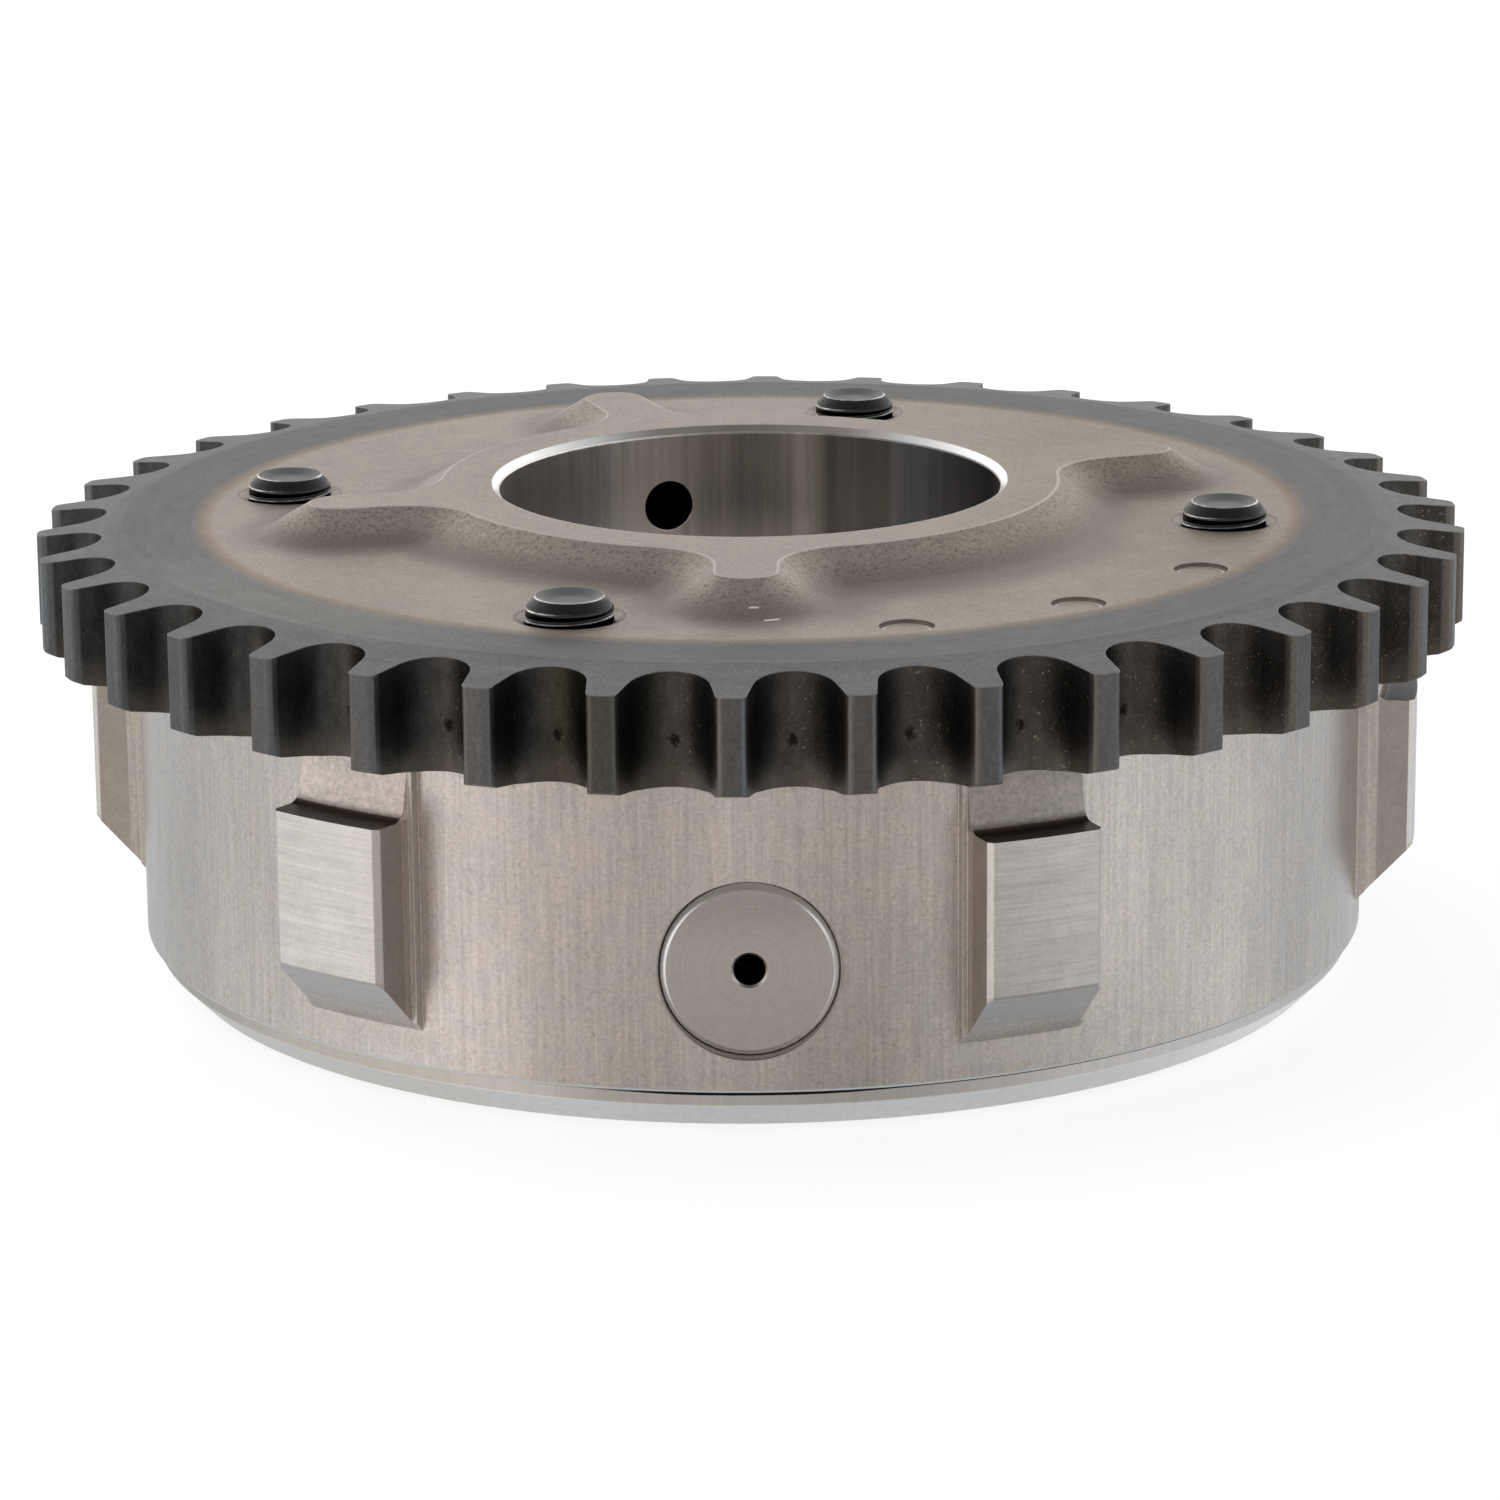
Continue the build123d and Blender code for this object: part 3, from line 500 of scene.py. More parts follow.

    # Timing dots: walls painted dark as shade round a flat floor, with a painted highlight ring
    dotWallColour = f.mottled(look["dotWall"], grit, 0.5)
    for degrees in look["dotAngles"]:
        turned = math.radians(degrees)
        away = f.awayFrom(
            look["dotCircle"] * math.cos(turned), look["dotCircle"] * math.sin(turned))
        dotWall = f.band(away, look["dotRadius"] - 0.18, look["dotRadius"] + 0.10, 0.06)
        ring = f.band(away, look["dotRadius"] - 0.5, look["dotRadius"] - 0.26, 0.07)
        colour = f.blend(f.times(ring, below, 0.75), colour, look["dotRing"])
        colour = f.blend(f.times(dotWall, below, 0.7), colour, dotWallColour)

    for start, end in look["scratches"]:
        scratch = f.times(f.step(f.awayFromLine(start, end), 0.13, 0.05), f.overPlate(-0.1, 0.0))
        colour = f.blend(scratch, colour, look["scratch"])

    machined = f.most(inBore, onChamfer, sunk)
    wornColour = f.blend(outside, look["worn"], look["wornRim"])
    colour = f.blend(f.times(worn, 0.6), colour, wornColour)
    roughness = f.mixed(machined, look["roughness"], look["machinedRoughness"])
    roughness = f.mixed(sunk, roughness, look["sinkRoughness"])
    roughness = f.mixed(wall, roughness, look["wallRoughness"])
    grain = f.times(f.less(machined), f.plus(f.times(fine, 0.7), f.times(grit, 0.5), coarse))
    normal = f.bumped(normal, grain, look["grainDepth"])
    return f.finish(colour, roughness, 1.0, normal)


# Housing: a turned wall, six lugs with brushed faces, ledges painted near-black as shade, and
# rough pads
housingLook = {
    "wall": (0.540, 0.503, 0.472),
    "wallWarm": (1.02, 0.99, 0.94),
    "pore": (0.20, 0.165, 0.135),
    "face": (0.66, 0.620, 0.585),
    "faceFoot": (0.12, 0.10, 0.085),
    "slope": (0.48, 0.450, 0.42),
    "pad": (0.56, 0.505, 0.455),
    "ledge": (0.040, 0.033, 0.028),
    "ledgeWarm": (0.16, 0.115, 0.08),
    "flank": (0.40, 0.362, 0.328),
    "strip": (0.56, 0.515, 0.47),
    "chamfer": (0.80, 0.77, 0.74),
    "inside": (0.42, 0.385, 0.35),
    "mouth": (0.30, 0.27, 0.245),
    "joint": (0.035, 0.028, 0.022),
    "worn": (0.70, 0.66, 0.62),
    "bottomEdge": (0.84, 0.82, 0.79),
    "seam": (0.012, 0.011, 0.010),
    "wallRadius": 51.75,
    "lugRadius": 56.3,
    "padRadius": 53.15,
    # Degrees, half width, and the painted light and shade on the face and the pad
    "lugs": ((53.5, 5.1, 1.0, 1.0), (113.5, 5.1, 1.0, 1.0), (173.5, 5.1, 1.0, 1.0),
             (233.5, 5.3, 0.93, 1.19), (293.7, 4.9, 0.80, 0.72), (353.5, 5.1, 1.0, 1.0)),
    "lugChamfer": 0.45,
    "lugBottom": 3.2,
    "slopeHeight": 4.85,
    "lugTop": 20.55,
    "plugRadius": 7.0,
    "plugMouth": 0.25,
    "roughness": 0.33,
    "roughRoughness": 0.55,
    "flankRoughness": 0.40,
    "grainDepth": 0.014,
    "edgeRounding": 0.10,
}


def housingFinish(look):
    f = Finish("machined_housing")
    grit = f.noise(f.place, 6.0, 2, 0.6)
    fine = f.noise(f.place, 2.8, 3, 0.65)
    coarse = f.noise(f.place, 0.5, 4, 0.6)
    rugged = f.noise(f.place, 2.2, 4, 0.8)
    broad = f.noise(f.squeezed(0.1, 0.1, 0.02), 1.0, 2)
    upright = f.noise(f.squeezed(1.0, 1.0, 0.03), 3.2, 4, 0.7)
    level = f.noise(f.squeezed(0.06, 0.06, 2.6), 1.7, 4, 0.65)
    normal = f.roundedNormal(look["edgeRounding"])
    worn = f.edges(normal)

    wall = f.mottled(
        look["wall"], upright, 0.34, fine, 0.30, grit, 0.16, broad, 0.20, coarse, 0.10)
    wall = f.tinted(f.step(coarse, 0.40, 0.62), wall, look["wallWarm"])
    pores = f.times(f.step(fine, 0.36, 0.28), f.step(coarse, 0.40, 0.60))
    wall = f.blend(f.times(pores, 0.5), wall, look["pore"])

    # How far beside the nearest lug a point lies, and the painted light and shade on that lug's
    # face and pad
    farOff = 99.0
    beside, faceTone, padTone = farOff, 1.0, 1.0
    for degrees, halfWidth, faceLevel, padLevel in look["lugs"]:
        turned = math.radians(degrees)
        across = f.math("ABSOLUTE", f.across(turned))
        gone = f.times(f.step(f.along(turned), 30.0, 20.0), farOff)
        outside = f.plus(f.math("SUBTRACT", across, halfWidth), gone)
        beside = f.math("MINIMUM", outside, beside)
        here = f.step(outside, 3.0, 2.0)
        faceTone = f.mixed(here, faceTone, faceLevel)
        padTone = f.mixed(here, padTone, padLevel)

    wallRadius, padRadius, lugRadius = look["wallRadius"], look["padRadius"], look["lugRadius"]
    bottom = coverTop + look["lugBottom"]
    top = coverTop + look["lugTop"]
    slopeTop = bottom + look["slopeHeight"]
    standsOut = f.step(f.radius, wallRadius + 0.10, wallRadius + 0.20)
    onFace = f.step(f.radius, lugRadius - 0.10, lugRadius - 0.04)
    onFoot = f.times(standsOut, f.step(beside, 0.02, 0.06))
    high = f.step(f.radius, padRadius + 0.15, padRadius + 0.3)
    onFlank = f.times(high, f.step(beside, -0.06, -0.02), f.less(onFoot))
    onChamfer = f.band(f.radius, lugRadius - look["lugChamfer"] + 0.02, lugRadius - 0.06, 0.03)
    onChamfer = f.times(high, onChamfer, f.band(f.z, slopeTop + 0.05, top - 0.1, 0.05))
    onPad = f.times(standsOut, f.step(f.z, top + 0.02, top + 0.1), f.less(onFoot))
    onLedge = f.times(high, f.step(f.up, 0.15, 0.5))
    onSlope = f.times(high, f.step(f.up, -0.15, -0.4))

    face = f.mottled(look["face"], level, 0.32, fine, 0.16, coarse, 0.14)
    face = f.vector("SCALE", face, scale=faceTone)
    pad = f.vector("SCALE", f.mottled(look["pad"], rugged, 0.60), scale=padTone)
    flank = f.mottled(look["flank"], fine, 0.2, coarse, 0.15)
    # Ledges painted near-black as the shade under the sprocket's teeth, warmer next to the pad
    deepIn = f.step(f.radius, padRadius + 0.9, padRadius + 0.2)
    ledge = f.blend(deepIn, look["ledge"], look["ledgeWarm"])

    # Under each lug runs a rougher strip, and a dark line marks the foot of its face
    under = f.times(f.band(beside, -9.0, 1.6, 0.5), f.band(f.z, bottom - 1.8, bottom - 0.2, 0.5))
    under = f.times(under, f.less(standsOut))
    colour = f.blend(f.times(under, 0.5), wall, f.mottled(look["strip"], fine, 0.25))
    colour = f.blend(onFoot, colour, f.mottled(look["strip"], fine, 0.28, grit, 0.2))
    colour = f.blend(onFace, colour, face)
    colour = f.blend(onFlank, colour, flank)
    colour = f.blend(onSlope, colour, f.mottled(look["slope"], level, 0.25, fine, 0.2))
    colour = f.blend(f.times(onChamfer, 0.35), colour, look["chamfer"])
    faceFoot = f.times(onFace, f.band(f.z, slopeTop - 0.1, slopeTop + 0.1, 0.1))
    colour = f.blend(f.times(faceFoot, 0.5), colour, look["faceFoot"])
    colour = f.blend(onPad, colour, pad)
    colour = f.blend(onLedge, colour, ledge)
    inward = f.step(f.radius, wallRadius - 0.7, wallRadius - 0.9)
    colour = f.blend(inward, colour, f.mottled(look["inside"], coarse, 0.15))

    # The plug's hole: a duller mouth round a dark joint
    plugSide = f.step(f.y, -30, -40)
    fromPlug = f.awayFromPlug()[2]
    plugRadius = look["plugRadius"]
    mouth = f.band(fromPlug, plugRadius + 0.05, plugRadius + look["plugMouth"], 0.05)
    joint = f.step(fromPlug, plugRadius + 0.06, plugRadius - 0.02)
    colour = f.blend(f.times(mouth, plugSide, 0.6), colour, look["mouth"])
    colour = f.blend(f.times(joint, plugSide, 0.9), colour, look["joint"])

    colour = f.blend(f.times(worn, f.less(onLedge), 0.5), colour, look["worn"])
    bottomEdge = f.step(f.z, coverTop + 0.36, coverTop + 0.28)
    # Painted shade in the seam above the cover, to the right
    seam = f.times(f.step(f.z, coverTop + 0.14, coverTop + 0.08), f.step(f.x, -18.0, -8.0))
    colour = f.blend(f.times(bottomEdge, 0.7), colour, look["bottomEdge"])
    colour = f.blend(seam, colour, look["seam"])
    rough = f.most(f.times(onFoot, 0.8), onPad, inward, f.times(under, 0.6))
    roughness = f.mixed(rough, look["roughness"], look["roughRoughness"])
    roughness = f.mixed(onFlank, roughness, look["flankRoughness"])
    height = f.plus(f.times(upright, 0.5), f.times(fine, 0.5), f.times(grit, 0.2))
    height = f.plus(height, f.times(onPad, rugged, 2.2))
    normal = f.bumped(normal, height, look["grainDepth"])
    return f.finish(colour, roughness, 1.0, normal)


# Cover: a sized band, a bright bevel below it and a turned underside
coverLook = {
    "band": (0.60, 0.565, 0.535),
    "bevel": (0.88, 0.835, 0.795),
    "left": (0.79, 0.77, 0.73),
    "worn": (0.80, 0.78, 0.76),
    "seam": (0.010, 0.009, 0.008),
    "underside": (0.55, 0.53, 0.51),
    "bandBottom": 2.7,
    "seamDepth": 0.21,
    "roughness": 0.33,
    "grainDepth": 0.008,
    "edgeRounding": 0.10,
}


def coverFinish(look):
    f = Finish("turned_cover")
    fine = f.noise(f.place, 3.0, 3, 0.6)
    upright = f.noise(f.squeezed(1.0, 1.0, 0.03), 1.4, 4, 0.65)
    rings = f.rings(f.radius, 3.0, 3, 0.6)
    normal = f.roundedNormal(look["edgeRounding"])
    worn = f.edges(normal)
    onBand = f.step(f.z, look["bandBottom"], look["bandBottom"] + 0.1)
    colour = f.blend(onBand, look["bevel"], look["band"])
    flat = f.step(f.up, -0.85, -0.95)
    colour = f.blend(flat, colour, f.mottled(look["underside"], rings, 0.18))
    colour = f.mottled(colour, upright, 0.14, fine, 0.08)
    colour = f.blend(f.times(worn, 0.5), colour, look["worn"])
    # Painted shade on the cover's left
    colour = f.tinted(f.step(f.x, -12.0, -28.0), colour, look["left"])

    # Painted shade in the seam under the housing, which opens to the right, and is widest in the
    # middle
    wide = f.plus(f.z, f.times(f.band(f.x, -9.0, 9.0, 5.0), 0.14))
    seamFrom = coverTop - look["seamDepth"]
    seam = f.times(f.step(wide, seamFrom - 0.03, seamFrom + 0.03), f.step(f.x, -18.0, -8.0))
    colour = f.blend(seam, colour, look["seam"])
    height = f.plus(f.times(rings, flat), f.times(fine, 0.3))
    normal = f.bumped(normal, height, look["grainDepth"])
    return f.finish(colour, look["roughness"], 1.0, normal)


# The thread that the clamp bolts' ends show above the plate
threadShape = {
    "crestRadius": 3.48,
    "rootRadius": 2.74,
    "pitch": 1.0,
    "flankAngle": 30,
    "sectionHeight": 0.82,  # share of the pitch
    "turns": 3.3,
    "stepsPerTurn": 40,
    "helixStart": -1.88,
    "standOut": 1.7,
    "chamferHeight": 0.92,
    "chamferWidth": 0.74,
    "rimRadius": 2.67,
    "dishDepth": 0.34,
    "dishWidth": 0.9,
    "joint": 1.0,  # how far below the plate's face the end meets the shank
    "segments": 64,
}


# Clamp bolts: black oxide, rubbed bright on the thread's crests and the rim of the tip, and a
# painted highlight on the rim's front side
boltLook = {
    "oxide": (0.050, 0.048, 0.046),
    "root": (0.012, 0.012, 0.012),
    "top": (0.070, 0.065, 0.060),
    "rubbed": (0.80, 0.77, 0.74),
    "crestWidth": 0.09,
    "rimWidth": 0.09,
    "roughness": 0.36,
    "grainDepth": 0.012,
    "edgeRounding": 0.05,
}


def boltFinish(look, shape):
    f = Finish("black_oxide")
    fine = f.noise(f.place, 3.5, 3, 0.65)
    normal = f.roundedNormal(look["edgeRounding"])
    patchy = f.step(f.noise(f.place, 1.1, 3), 0.35, 0.6)
    tip, rimRadius, halfPitch = shape["standOut"], shape["rimRadius"], 0.5 * shape["pitch"]

    # The place beside the nearest bolt's axis, and how far it is up from the thread's groove
    dx, dy = 0.0, 0.0
    for centre in boltCentres:
        near = f.step(f.awayFrom(centre.x, centre.y), 6.0, 5.0)
        dx = f.plus(f.times(near, f.math("SUBTRACT", f.x, centre.x)), dx)
        dy = f.plus(f.times(near, f.math("SUBTRACT", f.y, centre.y)), dy)
    away = f.length(dx, dy)
    height = f.math("SUBTRACT", f.z, plateTop)
    turned = f.times(f.math("ARCTAN2", dy, dx), -halfPitch / math.pi)
    climb = f.plus(height, turned, -shape["helixStart"])
    climb = f.math("WRAP", climb, halfPitch, -halfPitch)
    slant = math.tan(math.radians(shape["flankAngle"]))
    flank = f.times(f.math("SUBTRACT", away, shape["rootRadius"]), slant)
    fromGroove = f.math("SUBTRACT", f.math("ABSOLUTE", climb), flank)

    # Dark in the dish and in the groove
    colour = f.mottled(look["oxide"], fine, 0.5)
    inDish = f.times(f.within(away, rimRadius, 0.02), f.step(height, tip - 0.6, tip - 0.5))
    colour = f.blend(inDish, colour, f.mottled(look["top"], fine, 0.45))
    inGroove = f.times(f.step(fromGroove, 0.04, 0.01), f.step(height, 1.5, 1.4))
    inGroove = f.times(inGroove, f.step(f.up, 0.3, -0.1))
    colour = f.blend(inGroove, colour, look["root"])

    # Bright along the lip over the groove, on the crest and on the tip's rim
    lip = f.times(f.within(fromGroove, look["crestWidth"], 0.03), f.step(climb, 0.0, 0.1))
    crest = f.times(f.step(f.math("ABSOLUTE", climb), 0.42, 0.44), f.step(height, 0.7, 0.6))
    onSide = f.step(f.math("ABSOLUTE", f.up), 0.8, 0.7)
    crest = f.times(f.most(lip, crest), onSide, f.step(height, -0.4, -0.3))
    rim = f.band(away, rimRadius - 0.01, rimRadius + look["rimWidth"] + 0.04, 0.02)
    rim = f.times(rim, f.step(height, tip - 0.09, tip - 0.05))
    # Painted highlight: the rim brighter on its front side than at the back
    rim = f.times(rim, f.mixed(f.step(dy, 1.2, -0.6), 0.25, 1.0))
    rubbed = f.times(f.most(crest, rim), f.mixed(patchy, 0.45, 1.0))
    colour = f.blend(rubbed, colour, look["rubbed"])
    normal = f.bumped(normal, fine, look["grainDepth"])
    return f.finish(colour, look["roughness"], 1.0, normal)


# Lock pin's plug: a face turned in fine rings, bright chamfers, painted shade on its upper part
# and in its vent
plugLook = {
    "face": (0.475, 0.435, 0.408),
    "upper": (0.80, 0.80, 0.82),
    "edge": (0.86, 0.85, 0.84),
    "vent": (0.004, 0.004, 0.004),
    "side": (0.035, 0.028, 0.022),
    "chamferRadius": 6.5,
    "barrelRadius": 6.93,
    "cavityRadius": 3.8,
    "faceRadius": 51.45,
    "roughness": 0.30,
    "grainDepth": 0.006,
    "edgeRounding": 0.06,
}


def plugFinish(look):
    f = Finish("turned_plug")
    across, lift, away = f.awayFromPlug()
    rings = f.rings(away, 3.6, 4, 0.7)
    aroundPlug = f.joined(f.math("ARCTAN2", lift, across), f.times(away, 0.05), 0.0)
    spokes = f.noise(aroundPlug, 9.0, 3, 0.6)
    fine = f.noise(f.place, 4.0, 3, 0.6)
    normal = f.roundedNormal(look["edgeRounding"])
    worn = f.edges(normal)
    colour = f.mottled(look["face"], rings, 0.20, spokes, 0.08, fine, 0.08)
    # Painted shade on the upper part of the face
    colour = f.tinted(f.step(lift, 1.0, 5.5), colour, look["upper"])
    chamfer = f.step(away, look["chamferRadius"] - 0.03, look["chamferRadius"] + 0.03)
    colour = f.blend(f.most(chamfer, f.times(worn, 0.7)), colour, look["edge"])
    outward = f.times(f.y, -1.0)
    inside = f.step(outward, look["faceRadius"] - 0.35, look["faceRadius"] - 0.55)
    # Painted shade inside the vent and on the barrel behind the face
    vent = f.times(inside, f.within(away, look["cavityRadius"], 0.2))
    colour = f.blend(vent, colour, look["vent"])
    barrel = f.step(away, look["barrelRadius"] - 0.03, look["barrelRadius"] + 0.03)
    colour = f.blend(f.times(barrel, inside), colour, look["side"])
    normal = f.bumped(normal, rings, look["grainDepth"])
    return f.finish(colour, look["roughness"], 1.0, normal)


# Inner pieces: rotor, pins, springs and seals
innerLook = {
    "rotor": (0.40, 0.365, 0.33),
    "rotorGround": (0.55, 0.53, 0.50),
    "rotorWorn": (0.68, 0.65, 0.62),
    "hardened": (0.50, 0.49, 0.48),
    "spring": (0.36, 0.36, 0.37),
    "pinSpring": (0.02, 0.02, 0.021),
    "pinSpringWorn": (0.05, 0.05, 0.05),
    "worn": (0.72, 0.71, 0.70),
    "seal": (0.050, 0.040, 0.032),
}


def rotorFinish(look):
    f = Finish("sintered_rotor")
    fine = f.noise(f.place, 3.0, 3, 0.65)
    coarse = f.noise(f.place, 0.45, 4, 0.6)
    rings = f.rings(f.radius, 2.6, 3, 0.6)
    normal = f.roundedNormal(0.14)
    worn = f.edges(normal)
    flat = f.step(f.math("ABSOLUTE", f.up), 0.8, 0.95)
    ground = f.mottled(look["rotorGround"], rings, 0.15)
    colour = f.blend(flat, f.mottled(look["rotor"], coarse, 0.12), ground)
    colour = f.mottled(colour, fine, 0.10)
    colour = f.blend(f.times(worn, 0.5), colour, look["rotorWorn"])
    normal = f.bumped(normal, f.plus(fine, f.times(rings, flat)), 0.012)
    return f.finish(colour, f.mixed(flat, 0.48, 0.32), 1.0, normal)


def plainMetal(name, colour, wornColour, roughness, rounding):
    f = Finish(name)
    fine = f.noise(f.place, 3.0, 3, 0.6)
    lines = f.noise(f.squeezed(0.4, 0.4, 2.4), 1.6, 3, 0.6)
    normal = f.roundedNormal(rounding)
    worn = f.edges(normal)
    colour = f.mottled(colour, lines, 0.12, fine, 0.06)
    colour = f.blend(f.times(worn, 0.5), colour, wornColour)
    normal = f.bumped(normal, lines, 0.006)
    return f.finish(colour, roughness, 1.0, normal)


def sealFinish(look):
    f = Finish("moulded_seal")
    fine = f.noise(f.place, 2.5, 3, 0.6)
    flow = f.noise(f.squeezed(1.0, 1.0, 0.1), 1.2, 2)
    colour = f.mottled(look["seal"], flow, 0.25, fine, 0.15)
    normal = f.bumped(f.roundedNormal(0.1), fine, 0.01)
    return f.finish(colour, 0.5, 0.0, normal)


def dress(piece, finish):
    piece.data.materials.clear()
    piece.data.materials.append(finish)


dress(parts["sprocket"], sprocketFinish(sprocketLook))
dress(parts["housing"], housingFinish(housingLook))
dress(parts["cover_plate"], coverFinish(coverLook))
dress(parts["lock_pin_plug"], plugFinish(plugLook))
hardened = plainMetal("ground_pin", innerLook["hardened"], innerLook["worn"], 0.28, 0.1)
springWire = plainMetal("spring_wire", innerLook["spring"], innerLook["worn"], 0.3, 0.03)
pinWire = plainMetal(
    "dark_spring_wire", innerLook["pinSpring"], innerLook["pinSpringWorn"], 0.35, 0.03)
sintered = rotorFinish(innerLook)
sealPlastic = sealFinish(innerLook)
blackOxide = boltFinish(boltLook, threadShape)
dress(parts["rotor"], sintered)
for name in ("lock_pin", "locating_dowel"):
    dress(parts[name], hardened)
dress(parts["lock_pin_spring"], pinWire)
for number in fours:
    dress(parts[f"rotor_vane_{number}"], sintered)
    for side in ("vane", "shoe"):
        dress(parts[f"{side}_seal_{number}"], sealPlastic)
        dress(parts[f"{side}_seal_spring_{number}"], springWire)
print("finishes made:", len(bpy.data.materials))


def deselectAll():
    if bpy.context.object and bpy.context.object.mode != "OBJECT":
        bpy.ops.object.mode_set(mode="OBJECT")
    bpy.ops.object.select_all(action="DESELECT")


def pick(piece):
    deselectAll()
    piece.select_set(True)
    bpy.context.view_layer.objects.active = piece


# Selects the faces whose middle passes a test, in edit mode
def selectFaces(piece, test):
    bpy.ops.object.mode_set(mode="OBJECT")
    for face in piece.data.polygons:
        face.select = test(face)
    for edge in piece.data.edges:
        edge.select = False
    for vertex in piece.data.vertices:
        vertex.select = False
    for face in piece.data.polygons:
        if face.select:
            for index in face.vertices:
                piece.data.vertices[index].select = True
    bpy.ops.object.mode_set(mode="EDIT")
    bpy.ops.mesh.select_mode(type="FACE")


def applyPlace(piece):
    pick(piece)
    bpy.ops.object.transform_apply(location=True, rotation=True, scale=True)


def runModifier(piece, kind, **settings):
    pick(piece)
    modifier = piece.modifiers.new(kind.lower(), kind)
    for name, value in settings.items():
        setattr(modifier, name, value)
    bpy.ops.object.modifier_apply(modifier=modifier.name)


# The bolt's end: a bar with a chamfered tip and a shallow dish in it
def boltEnd(shape, centre):
    low = plateTop - shape["joint"]
    tip = plateTop + shape["standOut"]
    shoulder = tip - shape["chamferHeight"]
    tipRadius = shape["crestRadius"] - shape["chamferWidth"]
    deselectAll()
    bpy.ops.mesh.primitive_cylinder_add(
        vertices=shape["segments"], radius=shape["crestRadius"] * mm,
        depth=(shoulder - low) * mm,
        location=(centre.x * mm, centre.y * mm, (shoulder + low) / 2 * mm))
    piece = bpy.context.object
    piece.name = "bolt_end"
    applyPlace(piece)
    bpy.ops.object.mode_set(mode="EDIT")
    highest = max(vertex.co.z for vertex in piece.data.vertices)
    selectFaces(piece, lambda face: face.normal.z > 0.9 and face.center.z > highest - 0.01 * mm)
    middle = (centre.x * mm, centre.y * mm, tip * mm)
    inner = tipRadius / shape["crestRadius"]
    floor = (shape["rimRadius"] - shape["dishWidth"]) / shape["rimRadius"]
    rise = (0, 0, shape["chamferHeight"] * mm)
    sink = (0, 0, -shape["dishDepth"] * mm)
    bpy.ops.mesh.extrude_region_move(TRANSFORM_OT_translate={"value": rise})
    bpy.ops.transform.resize(value=(inner, inner, 1), center_override=middle)
    bpy.ops.mesh.inset(thickness=(tipRadius - shape["rimRadius"]) * mm)
    bpy.ops.mesh.extrude_region_move(TRANSFORM_OT_translate={"value": sink})
    bpy.ops.transform.resize(value=(floor, floor, 1), center_override=middle)
    bpy.ops.mesh.inset(thickness=0.5 * shape["rimRadius"] * mm)
    bpy.ops.object.mode_set(mode="OBJECT")
    return piece


# The tool that cuts the thread: a three-sided section wound up the bolt as a helix
def threadCutter(shape, centre):
    circle = shape["pitch"] * shape["sectionHeight"] / 1.5  # a triangle is 1.5 radii high
    deselectAll()
    bpy.ops.mesh.primitive_circle_add(
        vertices=3, radius=circle * mm, fill_type="NGON",
        location=((shape["rootRadius"] + circle) * mm, 0, 0),
        rotation=(math.radians(90), math.radians(-90), 0))
    piece = bpy.context.object
    piece.name = "thread_cutter"
    applyPlace(piece)
    steps = round(shape["stepsPerTurn"] * shape["turns"])
    runModifier(
        piece, "SCREW", axis="Z", angle=2 * math.pi * shape["turns"],
        screw_offset=shape["pitch"] * shape["turns"] * mm, steps=steps, render_steps=steps,
        iterations=1, use_merge_vertices=False)
    piece.location = (centre.x * mm, centre.y * mm, (plateTop + shape["helixStart"]) * mm)
    applyPlace(piece)
    return piece


def threadedBolt(number, shape):
    node = parts[f"clamp_bolt_{number}"]
    centre = boltCentres[number - 1]
    end = boltEnd(shape, centre)
    cutter = threadCutter(shape, centre)
    runModifier(end, "BOOLEAN", operation="DIFFERENCE", object=cutter, solver="EXACT")
    bpy.data.objects.remove(cutter)

    body = bpy.data.objects.new(f"clamp_screw_{number}", node.data.copy())
    bpy.context.scene.collection.objects.link(body)
    pick(body)
    bpy.ops.object.mode_set(mode="EDIT")
    bpy.ops.mesh.select_all(action="SELECT")
    bpy.ops.mesh.remove_doubles(threshold=1e-6)
    bpy.ops.mesh.bisect(
        plane_co=(0, 0, (plateTop - shape["joint"]) * mm), plane_no=(0, 0, 1),
        use_fill=True, clear_outer=True)
    bpy.ops.object.mode_set(mode="OBJECT")
    end.select_set(True)
    bpy.context.view_layer.objects.active = body
    bpy.ops.object.join()
    body.data.materials.clear()
    bpy.ops.object.shade_smooth_by_angle(angle=math.radians(28))
    body.data.materials.append(blackOxide)
    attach(body, "drive_side")
    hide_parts(node.name)
    return body


for number in fours:
    bolt = threadedBolt(number, threadShape)
    print("bolt", number, "threaded:", len(bolt.data.polygons), "faces")


# Leaf springs again: each a copy of its spring, carried by the body that its seal's slide hangs
# from
def pressedSpring(side, number):
    name = f"{side}_seal_spring_{number}"
    joint = next(each for each in frame["joints"] if each["name"] == f"{side}_seal_slide_{number}")
    piece = bpy.data.objects.new(f"{side}_leaf_spring_{number}", parts[name].data.copy())
    bpy.context.scene.collection.objects.link(piece)
    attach(piece, joint["parent"])
    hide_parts(name)
    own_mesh(piece)


for number in fours:
    for side in ("vane", "shoe"):
        pressedSpring(side, number)


# Studio: a pale floor, white all round, a soft lamp and the photograph's camera
studio = {
    "floorSize": 6.0,
    "floorColour": (0.90, 0.90, 0.90),
    "shadowShare": 0.24,
    "glow": 1.06,
    "shade": 0.27,
    "shadeAt": 283,  # degrees
    "shadeSpread": 50,
    "shadeFrom": 70,
    "shadeTo": 130,
    "backLight": 1.15,
    # Degrees round from the front, level and warmth
    "sideLight": ((-180, 0.71, -0.06), (-124, 0.73, -0.05), (-104, 0.94, -0.02),
                  (-84, 1.02, 0.0), (-60, 1.12, 0.01), (-44, 1.10, 0.03), (-28, 0.48, 0.05),
                  (-16, 0.76, 0.04), (4, 0.76, 0.02), (17, 0.49, 0.06), (28, 0.64, 0.03),
                  (46, 0.76, 0.0), (66, 1.05, -0.03), (86, 0.94, -0.035), (106, 0.83, -0.04),
                  (130, 0.74, -0.06), (160, 0.80, -0.06)),
    "zenithLight": 0.36,
    "climbFrom": 0.42,
    "climbTo": 0.88,
}


